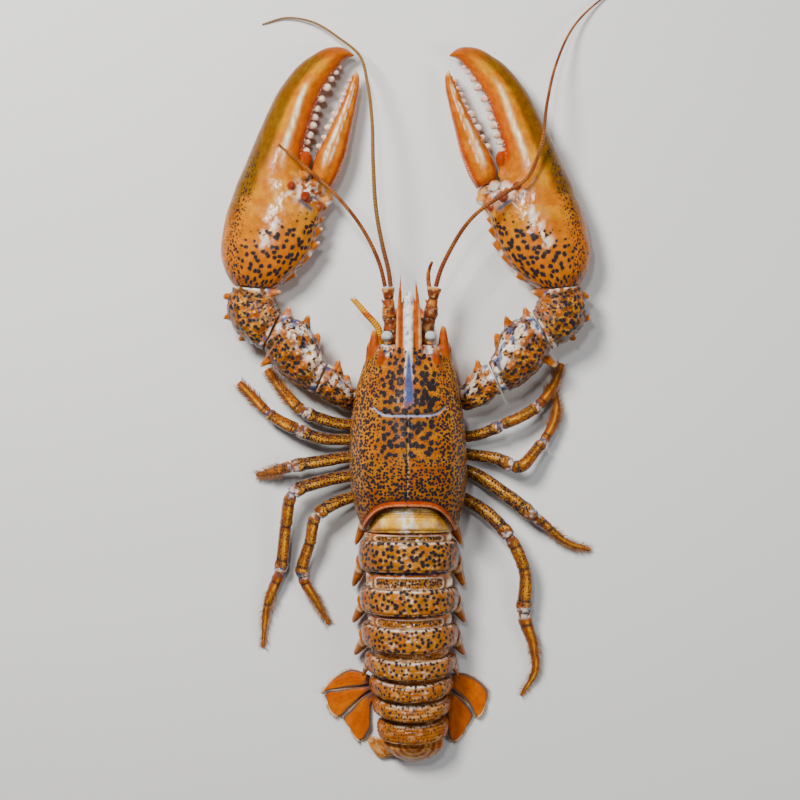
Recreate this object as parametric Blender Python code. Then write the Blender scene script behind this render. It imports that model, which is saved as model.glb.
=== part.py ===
"""A whole cooked lobster, lying on its belly with the claws held forward.

Sizes are real millimetres, turned into metres where a mesh is made. +Y runs towards the head and
+Z up. The origin is on the surface that the lobster lies on, under the middle of the carapace.
Left and right are the viewer's, looking down with the head away: left is -X.
"""

import math

import bmesh
import bpy
import numpy as np
from mathutils import Vector

MM = 0.001
GAP = 0.35  # clear space between neighbouring shell pieces

# Driving dimensions of the body.
CARAPACE_TOP = 48.0
CARAPACE_LOW = 12.2
CARAPACE_HALF_WIDTH = 31.0
CARAPACE_FRONT = 44.5
FACE_Y = CARAPACE_FRONT + 1.1  # where the eyes and antennae start, just clear of the carapace
CERVICAL_GROOVE_Y = 7.6
POCKET_WALL_Y = -31.0
SIDE_Z = 22.0
STERNUM_HALF_WIDTH = 14.5
STERNUM_TOP = 11.7
HIP_X = STERNUM_HALF_WIDTH + 1.0
TAIL_HALF_WIDTH = 27.0
TAIL_LOW = 0.6
CLAW_HALF_THICKNESS = 13.5
RIGHT_LEAN = 0.0385  # the right arm and claw lean in by about 2 degrees, as in a real pose
LEAN_FROM_Y = 10.0

# Sides of each faceted ring.
CARAPACE_SIDES = 24
TAIL_SIDES = 18
CLAW_SIDES = 14
ARM_SIDES = 12
LEG_SIDES = 8
WHIP_SIDES = 5
MOUTH_SIDES = 6
PLATE_SIDES = 8

SHELL = ("shell", (0.86, 0.40, 0.05), 0.30)
CLAW_SHELL = ("claw_shell", (0.88, 0.42, 0.05), 0.26)
LEG_SHELL = ("leg_shell", (0.80, 0.42, 0.08), 0.34)
FEELER = ("feeler", (0.66, 0.26, 0.06), 0.42)
FAN = ("tail_fan", (0.90, 0.38, 0.03), 0.38)
EYE = ("eye", (0.45, 0.46, 0.47), 0.12)
BELLY = ("belly", (0.78, 0.48, 0.24), 0.45)


# Small tools


def clear_scene():
    for obj in list(bpy.data.objects):
        bpy.data.objects.remove(obj)


def material(finish):
    name, colour, roughness = finish
    made = bpy.data.materials.get(name)
    if made is None:
        made = bpy.data.materials.new(name)
        made.use_nodes = True
        shader = made.node_tree.nodes["Principled BSDF"]
        shader.inputs["Base Color"].default_value = (*colour, 1.0)
        shader.inputs["Roughness"].default_value = roughness
        shader.inputs["Metallic"].default_value = 0.0
    return made


def smooth_rows(rows, places):
    """Rows of numbers read at the given shares of the way along a smooth curve through the rows.

    The way is measured over the first two columns.
    """
    table = np.array(rows, float)
    steps = np.linalg.norm(np.diff(table[:, :2], axis=0), axis=1)
    along = np.concatenate([[0.0], np.cumsum(steps)])
    slopes = np.gradient(table, along, axis=0)
    read = []
    for place in places:
        way = place * along[-1]
        i = int(np.clip(np.searchsorted(along, way, side="right") - 1, 0, len(along) - 2))
        span = along[i + 1] - along[i]
        t = (way - along[i]) / span
        start = (1 + 2 * t) * (1 - t) ** 2
        end = t * t * (3 - 2 * t)
        leave = t * (1 - t) ** 2 * span
        arrive = t * t * (t - 1) * span
        read.append(
            start * table[i] + end * table[i + 1] + leave * slopes[i] + arrive * slopes[i + 1]
        )
    return np.array(read)


def even(count):
    return [i / (count - 1) for i in range(count)]


def oval(sides, top_power=2.0, low_power=2.0):
    """Points (u, v) round an oval, from -1 to 1, starting at the bottom. Higher powers are boxier."""
    points = []
    for i in range(sides):
        turn = 2 * math.pi * i / sides - math.pi / 2
        across, up = math.cos(turn), math.sin(turn)
        power = top_power if up > 0 else low_power
        points.append(
            (
                math.copysign(abs(across) ** (2 / power), across),
                math.copysign(abs(up) ** (2 / power), up),
            )
        )
    return points


def loft(rings):
    """A closed mesh skinned over rings of equal counts, with both ends filled."""
    shape = bmesh.new()
    loops = [[shape.verts.new(Vector(point) * MM) for point in ring] for ring in rings]
    for near, far in zip(loops, loops[1:]):
        for i in range(len(near)):
            shape.faces.new((near[i - 1], near[i], far[i], far[i - 1]))
    shape.faces.new(loops[0])
    shape.faces.new(reversed(loops[-1]))
    bmesh.ops.recalc_face_normals(shape, faces=shape.faces)
    return shape


def add(name, shape, finish):
    """A named object from a bmesh, shaded smooth apart from its sharp edges."""
    mesh = bpy.data.meshes.new(name)
    shape.to_mesh(mesh)
    shape.free()
    mesh.shade_smooth()
    mesh.set_sharp_from_angle(angle=math.radians(40))
    mesh.materials.append(material(finish))
    obj = bpy.data.objects.new(name, mesh)
    bpy.context.scene.collection.objects.link(obj)
    return obj


def fuse(base, shapes, solver="EXACT"):
    """Joins closed shapes to the base object by one Boolean union on a collection."""
    together = bpy.data.collections.new("fused")
    bpy.context.scene.collection.children.link(together)
    for shape in shapes:
        mesh = bpy.data.meshes.new("fused")
        shape.to_mesh(mesh)
        shape.free()
        together.objects.link(bpy.data.objects.new("fused", mesh))
    union = base.modifiers.new("union", "BOOLEAN")
    union.operation = "UNION"
    union.operand_type = "COLLECTION"
    union.collection = together
    union.solver = solver
    bpy.context.view_layer.objects.active = base
    bpy.ops.object.modifier_apply(modifier=union.name)
    for obj in list(together.objects):
        bpy.data.objects.remove(obj)
    bpy.data.collections.remove(together)
    base.data.set_sharp_from_angle(angle=math.radians(40))
    return base


# Kinds of shape


def spine(base, tip, radius, sides=5, flat=1.0, sink=0.25):
    """A thorn from base to tip, with its root sunk in. flat under 1 thins it from side to side."""
    base, tip = Vector(base), Vector(tip)
    axis = tip - base
    across = axis.cross(Vector((0, 0, 1))).normalized()
    up = across.cross(axis).normalized()
    start = base - axis * sink
    rings = []
    for share, size in ((0.0, 1.1), (0.5, 0.62), (1.0, 0.08)):
        centre = start.lerp(tip, share)
        turns = [2 * math.pi * i / sides for i in range(sides)]
        rings.append(
            [
                centre
                + across * radius * size * flat * math.cos(turn)
                + up * radius * size * math.sin(turn)
                for turn in turns
            ]
        )
    return loft(rings)


def bead(centre, radius, subdivisions=1):
    """A round tooth or knob."""
    shape = bmesh.new()
    bmesh.ops.create_icosphere(shape, subdivisions=subdivisions, radius=radius * MM)
    bmesh.ops.translate(shape, verts=shape.verts, vec=Vector(centre) * MM)
    return shape


def mirrored(rows):
    """A left-hand table of (outer x, outer y, inner x, inner y, ...) carried to the right arm."""
    return [
        (
            -row[0] - RIGHT_LEAN * (row[1] - LEAN_FROM_Y),
            row[1],
            -row[2] - RIGHT_LEAN * (row[3] - LEAN_FROM_Y),
            row[3],
            *row[4:],
        )
        for row in rows
    ]


def sided(rows, side):
    return rows if side == "left" else mirrored(rows)


class Ribbon:
    """A solid between an outer and an inner margin seen from above.

    Each row is (outer x, outer y, inner x, inner y, middle z, half thickness).
    """

    def __init__(self, rows):
        self.rows = np.array(rows, float)
        middle = (self.rows[:, :2] + self.rows[:, 2:4]) / 2
        self.table = np.hstack([middle, self.rows])

    def at(self, place):
        """(centre, half width as a vector, half thickness) at a share of the length."""
        row = smooth_rows(self.table, [place])[0]
        outer, inner = row[2:4], row[4:6]
        centre = Vector((*(outer + inner) / 2, row[6]))
        return centre, Vector((*(outer - inner) / 2, 0)), row[7]

    def point(self, place, around, height=1.0):
        """A point of the surface: around is 0 at the outer margin, 90 on top and 180 inside."""
        centre, half_width, half_thickness = self.at(place)
        turn = math.radians(around)
        up = Vector((0, 0, half_thickness * math.sin(turn)))
        return centre + (half_width * math.cos(turn) + up) * height

    def rings(self, places, sides, power=2.2):
        found = []
        for place in places:
            centre, half_width, half_thickness = self.at(place)
            found.append(
                [
                    centre + half_width * u + Vector((0, 0, half_thickness * v))
                    for u, v in oval(sides, power, power)
                ]
            )
        return found

    def thorn(self, place, around, length, radius, forward=0.3):
        """A spine that leaves the surface outwards and leans towards the far end."""
        centre, _, _ = self.at(place)
        base = self.point(place, around, 0.93)
        ahead = (self.at(min(place + 0.05, 1.0))[0] - self.at(max(place - 0.05, 0.0))[0]).normalized()
        out = (base - centre).normalized()
        return spine(base, base + (out + ahead * forward).normalized() * length, radius)


def limb_rings(rows, places, sides, collar):
    """Round rings square to a smooth path of (x, y, z, radius). collar(place) scales the radius."""
    rings = []
    for place in places:
        row = smooth_rows(rows, [place])[0]
        ahead = Vector(smooth_rows(rows, [min(place + 0.01, 1.0)])[0][:3])
        behind = Vector(smooth_rows(rows, [max(place - 0.01, 0.0)])[0][:3])
        axis = (ahead - behind).normalized()
        across = axis.cross(Vector((0, 0, 1))).normalized()
        up = across.cross(axis)
        radius = row[3] * collar(place)
        rings.append(
            [Vector(row[:3]) + (across * u + up * v) * radius for u, v in oval(sides)]
        )
    return rings


def body_ring(row, sides, top_power, low_power, scale=1.0):
    """A ring across the carapace from (y, middle x, half width, side z, top z, low z, sag).

    sag is how much further back the sides are than the top. The underside comes forward again.
    """
    y, middle, half_width, side_z, top_z, low_z, sag = row
    ring = []
    for u, v in oval(sides, top_power, low_power):
        rise = (top_z - side_z) * v if v > 0 else (side_z - low_z) * v
        back = sag * u**4 * max(0.0, 1.0 - 2.4 * max(-v, 0.0))
        ring.append(Vector((middle + half_width * u * scale, y - back, side_z + rise * scale)))
    return ring


def tail_ring(row, top_power=2.2, low_power=3.4):
    """A ring across the tail from (y, middle x, half width, side z, top z, low z, tilt).

    It lies in a plane, so that the flat ends of neighbouring pieces are parallel. y is at its top,
    and tilt is how far back the plane goes for each millimetre down.
    """
    y, middle, half_width, side_z, top_z, low_z, tilt = row
    ring = []
    for u, v in oval(TAIL_SIDES, top_power, low_power):
        z = side_z + ((top_z - side_z) * v if v > 0 else (side_z - low_z) * v)
        ring.append(Vector((middle + half_width * u, y - tilt * (top_z - z), z)))
    return ring


# Carapace

CARAPACE_ROWS = (
    # y, middle x, half width, side z, top z, low z, sag of the sides
    (CARAPACE_FRONT, 0.0, 18.5, 25.0, 38.5, 15.0, 0.0),
    (38.0, 0.0, 22.4, 24.0, 40.5, 13.0, 0.0),
    (26.0, -0.4, 26.2, 23.0, 43.6, CARAPACE_LOW, 0.0),
    (12.0, -0.6, 28.8, SIDE_Z, 46.2, CARAPACE_LOW, 0.0),
    (0.0, -0.5, 30.4, SIDE_Z, CARAPACE_TOP, CARAPACE_LOW, 0.0),
    (-14.0, -0.3, CARAPACE_HALF_WIDTH, SIDE_Z, CARAPACE_TOP + 1.0, CARAPACE_LOW, 1.0),
    (-26.0, 0.0, 30.2, SIDE_Z, CARAPACE_TOP + 0.4, CARAPACE_LOW, 7.0),
    (-33.0, 0.2, 27.6, SIDE_Z, CARAPACE_TOP - 1.0, CARAPACE_LOW + 0.5, 11.5),
    (-36.7, 0.3, 25.0, SIDE_Z, CARAPACE_TOP - 2.0, CARAPACE_LOW + 1.5, 15.8),
)
GROOVE_DEPTH = 1.3
GROOVE_HALF_LENGTH = 18.0
GROOVE_END_RISE = 4.0  # the groove's ends turn forward
MEDIAN_DEPTH = 0.7


def groove_y(x):
    """Where the cervical groove crosses the back, which turns forward at both ends."""
    share = min(abs(x) / GROOVE_HALF_LENGTH, 1.0)
    return CERVICAL_GROOVE_Y + GROOVE_END_RISE * share**6


def carved(point):
    """A point of the carapace with the cervical groove and the median line pressed in."""
    x, y, z = point
    if z < SIDE_Z + 8:
        return point
    fade = max(0.0, 1 - max(abs(x) - GROOVE_HALF_LENGTH, 0.0) / 3.0)
    depth = GROOVE_DEPTH * fade * math.exp(-(((y - groove_y(x)) / 0.9) ** 2))
    if y < CERVICAL_GROOVE_Y and abs(x) < 1.0:
        depth = max(depth, MEDIAN_DEPTH)
    return Vector((x, y, z - depth))


def rostrum():
    """The beak between the eyes: a middle ridge and two long side blades."""
    ridge = [
        # x, y, z, radius
        (0.0, 34.0, 40.0, 2.6),
        (0.1, 50.0, 40.0, 2.8),
        (0.1, 62.0, 40.4, 2.2),
        (0.2, 71.0, 41.0, 0.5),
    ]
    shapes = [loft(limb_rings(ridge, even(6), LEG_SIDES, lambda place: 1.0))]
    for side, tip_x, tip_y in ((-1, -4.2, 82.2), (1, 3.4, 80.0)):
        blade = [
            (side * 6.2, 32.0, 38.4, 2.0),
            (side * 5.4, 48.0, 39.6, 1.9),
            (side * 4.9, 62.0, 41.0, 1.7),
            (tip_x, tip_y, 43.0, 0.35),
        ]
        shapes.append(loft(limb_rings(blade, even(7), 6, lambda place: 1.0)))
    return shapes


def head_spines():
    """The blades outside each eye, and the small thorns behind the eyes."""
    shapes = []
    for side, reach in ((-1, 0.0), (1, 2.4)):
        shapes.append(spine((side * 18.6, 39.0, 29.5), (side * 17.2, 53.0 + reach, 31.5), 2.9, 7))
        shapes.append(spine((side * 20.4, 36.0, 27.5), (side * 21.0, 46.0, 28.5), 1.9))
        shapes.append(spine((side * 14.6, 35.0, 36.0), (side * 14.2, 42.5, 39.4), 1.6))
    return shapes


def carapace():
    """The carapace with its rear lip hollowed, so that the tail slides in under it."""
    places = [0, 0.06, 0.14, 0.23, 0.32, 0.395, 0.41, 0.425, 0.44, 0.455, 0.54, 0.64, 0.75, 0.86, 0.94, 1]
    rows = smooth_rows([(row[0], 0.0, *row) for row in CARAPACE_ROWS], places)[:, 2:]
    rings = [body_ring(row, CARAPACE_SIDES, 2.1, 2.4) for row in rows]
    rings = [[carved(point) for point in ring] for ring in rings]
    rim = rows[-1]
    rings.append(body_ring(rim, CARAPACE_SIDES, 2.1, 2.4, scale=0.925))
    wall = (POCKET_WALL_Y, *rim[1:6], 0.0)
    rings.append(body_ring(wall, CARAPACE_SIDES, 2.1, 2.4, scale=0.90))
    shell = add("carapace", loft(rings), SHELL)
    return fuse(shell, rostrum() + head_spines())


def sternum():
    """The belly plate between the legs, with the flat face that the lobster lies on."""
    rows = ((41.0, 6.0), (28.0, 10.0), (6.0, STERNUM_HALF_WIDTH), (-37.4, STERNUM_HALF_WIDTH))
    bevel = 1.6
    rings = []
    for y, half_width in rows:
        side = [(half_width - bevel, 0.0), (half_width, bevel), (half_width, STERNUM_TOP - bevel)]
        side.append((half_width - bevel, STERNUM_TOP))
        ring = [(x, y, z) for x, z in side] + [(-x, y, z) for x, z in reversed(side)]
        rings.append(ring)
    return add("sternum", loft(rings), BELLY)


def eye(side):
    """A round eye on a short stalk from the front of the head."""
    x, ball_y, ball_z = side * 11.4, 49.8, 35.2
    stalk = [
        (side * 10.6, FACE_Y + 0.5, 33.4, 1.8),
        (side * 11.0, 46.6, 34.2, 2.0),
        (x, ball_y, ball_z, 1.6),
    ]
    name = "eye_left" if side < 0 else "eye_right"
    made = add(name, loft(limb_rings(stalk, even(4), LEG_SIDES, lambda place: 1.0)), EYE)
    return fuse(made, [bead((x, ball_y, ball_z), 3.1, 2)])


# Tail

TAIL_SEGMENTS = (
    # name, front y, step y, rear y, middle x, half width, top z, low z, front tilt, rear tilt
    ("tail_segment_2", -53.8, -58.8, -74.7, 0.0, TAIL_HALF_WIDTH, 38.0, TAIL_LOW, 0.0, -0.02),
    ("tail_segment_3", -74.7, -84.3, -97.8, 0.3, 26.6, 36.8, TAIL_LOW, -0.02, -0.07),
    ("tail_segment_4", -97.8, -104.9, -117.7, 0.6, 26.0, 35.2, TAIL_LOW, -0.07, -0.13),
    ("tail_segment_5", -117.7, -122.4, -132.0, 1.0, 24.4, 33.0, 3.4, -0.13, -0.18),
    ("tail_segment_6", -132.0, -135.0, -143.6, 1.4, 22.4, 30.0, 5.4, -0.18, -0.22),
    ("tail_segment_7", -143.6, -146.2, -154.6, 1.7, 21.0, 26.4, 5.4, -0.22, -0.28),
    ("tail_segment_8", -154.6, -157.2, -167.0, 2.2, 19.0, 21.6, 5.4, -0.28, -0.34),
)
FACET_INSET = 3.6  # the sliding front of each tail segment is this much narrower
FACET_DROP = 2.8
TAIL_SIDE_Z = 11.0
PLEURA_TIPS = {
    # how far each flap's root is outside the segment and ahead of its rear edge, how far its tip is
    # outside and behind, and its radius
    "tail_segment_1": (0.4, 2.6, 5.0, 8.0, 4.2),
    "tail_segment_2": (-2.2, 4.5, 2.4, 9.8, 4.8),
    "tail_segment_3": (-2.2, 4.5, 3.6, 6.2, 4.8),
    "tail_segment_4": (-2.2, 4.5, 3.4, 4.0, 4.8),
    "tail_segment_5": (-1.2, 4.5, 1.2, 1.4, 2.6),
}


def pleura(name, middle, half_width, rear_y, low_z):
    """The pointed side flaps of a tail segment, as one flat thorn a side."""
    root, ahead, out, back, radius = PLEURA_TIPS[name]
    shapes = []
    for side in (-1, 1):
        base = (middle + side * (half_width + root), rear_y + ahead, low_z + 8.6)
        tip = (middle + side * (half_width + out), rear_y - back, low_z + 4.6)
        shapes.append(spine(base, tip, radius, 7, flat=0.62))
    return shapes


def tail_segment(name, front, step, rear, middle, half_width, top, low, front_tilt, rear_tilt):
    """A tail ring: a lower sliding front, a step, and the domed band."""
    band = step - rear
    stations = (
        # y, less half width, less top
        (front - GAP, FACET_INSET + 0.4, FACET_DROP + 0.5),
        (step + 0.9, FACET_INSET, FACET_DROP),
        (step, 0.5, 0.6),
        (step - 0.45 * band, 0.0, -0.3),
        (rear + 1.0, 0.2, 0.1),
        (rear, 1.0, 0.9),
    )
    rings = []
    for y, narrower, lower in stations:
        tilt = front_tilt + (rear_tilt - front_tilt) * (front - y) / (front - rear)
        shift = tilt * (lower - stations[-1][2])
        side_z = min(TAIL_SIDE_Z, (top + low) / 2)
        row = (y - shift, middle, half_width - narrower, side_z, top - lower, low, tilt)
        rings.append(tail_ring(row))
    made = add(name, loft(rings), SHELL)
    if name in PLEURA_TIPS:
        made = fuse(made, pleura(name, middle, half_width, rear, low))
    return made


def first_tail_segment():
    """The narrow first ring, whose front slides under the carapace."""
    rows = (
        (POCKET_WALL_Y - 0.5, 0.2, 17.0, 22.0, 34.0, 15.4, 0.0),
        (-37.4, 0.2, 18.0, 21.0, 35.4, 15.4, 0.0),
        (-38.4, 0.2, 18.2, 14.0, 36.0, 4.0, 0.0),
        (-41.0, 0.2, 18.6, 13.5, 36.6, 3.6, 0.06),
        (-42.2, 0.2, 19.4, 13.0, 38.4, 3.0, 0.20),
        (-46.5, 0.1, 20.6, 12.4, 39.8, 2.4, 0.12),
        (-51.0, 0.0, 22.4, 11.6, 39.4, 1.6, 0.03),
        (-52.7, 0.0, 23.8, 11.0, 38.8, TAIL_LOW, 0.0),
        (-53.8, 0.0, 23.2, 11.0, 37.8, TAIL_LOW, 0.0),
    )
    made = add("tail_segment_1", loft([tail_ring(row) for row in rows]), SHELL)
    return fuse(made, pleura("tail_segment_1", 0.0, 23.6, -53.8, TAIL_LOW))


FAN_HALF_THICKNESS = 1.15
TELSON_LOBE = (
    # margin x, margin y, other margin x, other margin y, middle z
    (-9.0, -168.6, -3.6, -170.6, 6.0),
    (-15.0, -165.8, -5.6, -172.8, 3.9),
    (-20.4, -164.8, -8.6, -174.8, 3.3),
    (-21.8, -168.6, -11.6, -176.0, 2.6),
    (-18.4, -173.6, -15.0, -176.4, 2.2),
)


def telson():
    """The rounded last plate, with a small soft lobe at its left and two low arcs across it."""
    rows = (
        (-168.9, 2.5, 15.8, 9.0, 15.6, 3.6, -0.34),
        (-170.0, 2.6, 15.8, 9.0, 16.4, 3.4, -0.36),
        (-172.0, 2.7, 14.6, 8.6, 15.0, 3.0, -0.40),
        (-174.0, 2.8, 12.8, 8.0, 13.2, 2.6, -0.44),
        (-176.0, 2.8, 10.2, 6.6, 10.2, 2.0, -0.48),
        (-177.8, 2.8, 6.6, 4.6, 6.4, 1.4, -0.50),
    )
    plate = add("telson", loft([tail_ring(row, 2.3, 3.0) for row in rows]), SHELL)
    lobe = Ribbon([(*row, FAN_HALF_THICKNESS) for row in TELSON_LOBE])
    return fuse(plate, [loft(lobe.rings(even(5), PLATE_SIDES, 2.6))])


FAN_PLATES = {
    "tail_fan_left_1": (
        (-18.4, -133.2, -18.4, -135.6, 3.6),
        (-24.0, -130.4, -24.6, -137.2, 3.4),
        (-31.6, -129.0, -31.6, -138.0, 3.0),
        (-38.0, -132.2, -38.2, -139.0, 2.6),
        (-42.6, -136.4, -42.8, -139.6, 2.2),
        (-44.4, -138.6, -44.4, -140.0, 2.0),
    ),
    "tail_fan_left_2": (
        (-18.4, -136.6, -18.4, -138.6, 3.4),
        (-25.0, -138.2, -24.2, -142.0, 3.2),
        (-31.6, -138.9, -27.6, -145.2, 2.8),
        (-38.2, -139.9, -31.8, -149.6, 2.4),
        (-44.4, -141.0, -34.8, -153.0, 2.0),
        (-43.6, -147.0, -37.8, -153.8, 1.7),
    ),
    "tail_fan_left_3": (
        (-18.4, -139.6, -18.2, -142.6, 3.2),
        (-23.6, -142.8, -20.4, -148.0, 3.0),
        (-27.2, -146.2, -20.6, -154.0, 2.6),
        (-31.0, -150.4, -20.4, -160.0, 2.2),
        (-34.8, -154.8, -22.8, -164.6, 1.9),
        (-31.0, -160.6, -26.2, -166.8, 1.6),
    ),
    "tail_fan_right_1": (
        (19.4, -133.4, 19.4, -138.0, 3.5),
        (27.0, -130.6, 23.8, -139.6, 3.3),
        (34.0, -132.6, 28.0, -142.4, 3.0),
        (39.4, -136.4, 32.0, -146.4, 2.6),
        (42.3, -141.0, 34.8, -151.6, 2.2),
        (41.4, -147.2, 36.8, -154.0, 1.9),
    ),
    "tail_fan_right_2": (
        (19.4, -139.2, 19.2, -143.0, 3.2),
        (23.0, -140.6, 20.6, -146.0, 3.1),
        (27.2, -143.6, 21.0, -151.0, 2.8),
        (31.2, -147.4, 20.6, -158.0, 2.5),
        (34.4, -153.0, 21.4, -164.2, 2.0),
        (30.4, -160.6, 24.2, -167.4, 1.6),
    ),
}


def fan_plate(name, rows):
    plate = Ribbon([(*row, FAN_HALF_THICKNESS) for row in rows])
    return add(name, loft(plate.rings(even(7), PLATE_SIDES, 2.6)), FAN)


# Claws and arms, given for the left side and mirrored with a small lean

CLAW_ROWS = (
    # outer x, outer y, inner x, inner y, middle z, half thickness
    (-93.6, 76.9, -71.2, 75.0, 13.0, 8.5),
    (-98.2, 84.8, -62.4, 81.6, 13.2, 11.6),
    (-100.2, 94.6, -55.6, 89.6, CLAW_HALF_THICKNESS, 13.2),
    (-99.0, 105.0, -50.8, 99.0, CLAW_HALF_THICKNESS, CLAW_HALF_THICKNESS),
    (-96.4, 117.0, -47.0, 112.4, CLAW_HALF_THICKNESS, 13.2),
    (-92.6, 128.0, -46.0, 121.4, 13.2, 12.6),
    (-89.6, 135.6, -53.6, 132.6, 13.0, 12.0),
    (-85.8, 144.6, -56.4, 141.4, 12.8, 11.4),
    (-77.6, 163.6, -52.6, 162.0, 12.2, 9.8),
    (-67.6, 183.6, -46.2, 180.6, 11.4, 8.0),
    (-53.4, 198.6, -37.6, 193.6, 10.4, 5.8),
    (-41.8, 204.3, -32.8, 198.4, 9.6, 4.2),
    (-33.4, 203.6, -29.8, 199.4, 9.0, 2.4),
    (-29.4, 200.6, -28.6, 199.4, 8.8, 0.9),
)
FINGER_ROWS = (
    (-51.4, 132.8, -41.2, 128.4, 12.6, 6.4),
    (-50.8, 139.0, -37.8, 134.8, 12.4, 7.8),
    (-48.6, 146.4, -34.0, 145.8, 12.2, 7.6),
    (-44.2, 155.6, -31.4, 155.4, 11.8, 6.8),
    (-39.6, 165.6, -29.2, 165.4, 11.2, 5.8),
    (-35.2, 175.0, -27.4, 175.2, 10.4, 4.6),
    (-31.8, 184.4, -26.2, 184.6, 9.6, 3.4),
    (-29.4, 190.2, -26.8, 190.2, 9.2, 2.0),
    (-28.6, 192.2, -28.0, 192.2, 9.0, 0.8),
)
WRIST_ROWS = (
    (-77.4, 42.6, -67.6, 63.6, 16.8, 10.0),
    (-85.4, 46.8, -69.8, 66.8, 16.4, 11.4),
    (-93.2, 54.4, -70.6, 69.6, 15.8, 11.8),
    (-96.6, 64.6, -70.8, 72.0, 15.0, 11.2),
    (-94.4, 76.2, -71.4, 74.2, 13.6, 8.8),
)
UPPER_ARM_ROWS = (
    (-50.6, 19.6, -43.4, 35.6, 15.6, 8.2),
    (-56.4, 21.8, -45.8, 39.6, 16.6, 9.6),
    (-65.0, 27.4, -50.4, 50.4, 17.4, 10.8),
    (-73.0, 35.6, -58.0, 58.4, 17.4, 11.2),
    (-76.6, 41.8, -66.8, 62.8, 17.0, 9.8),
)
ARM_BASE_ROWS = (
    (-HIP_X, 11.6, -HIP_X, 21.6, 6.2, 5.2),
    (-24.6, 11.4, -24.0, 22.6, 6.2, 5.4),
    (-31.6, 10.4, -29.6, 24.0, 10.2, 7.2),
    (-40.4, 13.2, -35.4, 30.0, 13.4, 8.4),
    (-49.6, 19.2, -42.4, 35.4, 15.4, 8.4),
)

# place along the piece, degrees round from the outer margin over the top, length, radius and,
# where it isn't 0.3, how far the thorn leans forward
CLAW_THORNS = (
    (0.060, 168, 3.4, 1.4),
    (0.135, 176, 4.2, 1.7),
    (0.205, 178, 4.6, 1.9),
    (0.275, 178, 4.6, 2.0),
    (0.350, 172, 3.8, 1.9),
)
WRIST_THORNS = (
    (0.88, 12, 3.4, 2.2, 0.0),
    (0.62, 0, 3.4, 2.2),
    (0.32, -6, 3.6, 2.0),
    (0.78, 148, 6.4, 2.6, 0.0),
    (0.46, 90, 3.2, 1.8),
    (0.24, 128, 3.2, 1.7),
)
UPPER_ARM_THORNS = (
    (0.90, 160, 5.6, 2.1),
    (0.62, 174, 6.0, 2.2),
    (0.36, 176, 5.0, 2.0),
    (0.84, 4, 6.2, 2.4),
    (0.80, 96, 4.2, 2.0),
    (0.58, 88, 4.4, 2.0),
    (0.36, 84, 4.0, 1.9),
)
ARM_BASE_THORNS = (
    (0.80, 172, 6.2, 2.3),
    (0.58, 160, 4.0, 1.8),
    (0.84, 70, 3.2, 1.8),
)


def place_of(ribbon, y):
    """The share of the length at which a claw piece reaches a given y, by halving the interval."""
    low, high = 0.0, 1.0
    for _ in range(24):
        middle = (low + high) / 2
        low, high = (middle, high) if ribbon.at(middle)[0].y < y else (low, middle)
    return low


def teeth(ribbon, inner_turn, first_y, last_y, count, largest):
    """A row of rounded teeth along a biting edge, large near the hinge and every other one small."""
    shapes = []
    for i in range(count):
        share = i / (count - 1)
        place = place_of(ribbon, first_y + (last_y - first_y) * share)
        radius = largest * (1 - 0.55 * share) * (1.0 if i % 2 == 0 else 0.72)
        shapes.append(bead(ribbon.point(place, inner_turn, 0.99), radius))
    return shapes


def hinge_knobs(ribbon):
    """The round knobs over the finger's hinge."""
    places = ((0.430, 128, 3.0), (0.405, 142, 2.5), (0.378, 152, 2.7))
    return [
        bead(ribbon.point(place, around, 0.97), radius) for place, around, radius in places
    ]


def claw(side):
    ribbon = Ribbon(sided(CLAW_ROWS, side))
    places = [0, 0.03, 0.09, 0.18, 0.28, 0.37, 0.40, 0.43, 0.5, 0.6, 0.7, 0.8, 0.9, 0.96, 1]
    body = add(f"claw_{side}", loft(ribbon.rings(places, CLAW_SIDES)), CLAW_SHELL)
    extras = [ribbon.thorn(*thorn) for thorn in CLAW_THORNS]
    extras += teeth(ribbon, 180, 147.0, 195.0, 10, 2.3) + hinge_knobs(ribbon)
    return fuse(body, extras)


def finger(side):
    ribbon = Ribbon(sided(FINGER_ROWS, side))
    body = add(f"claw_finger_{side}", loft(ribbon.rings(even(10), ARM_SIDES)), CLAW_SHELL)
    return fuse(body, teeth(ribbon, 0, 143.0, 186.0, 8, 1.9))


def arm_piece(name, side, rows, thorns, ring_count):
    ribbon = Ribbon(sided(rows, side))
    body = add(f"{name}_{side}", loft(ribbon.rings(even(ring_count), ARM_SIDES)), CLAW_SHELL)
    return fuse(body, [ribbon.thorn(*thorn) for thorn in thorns])


# Legs

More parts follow.
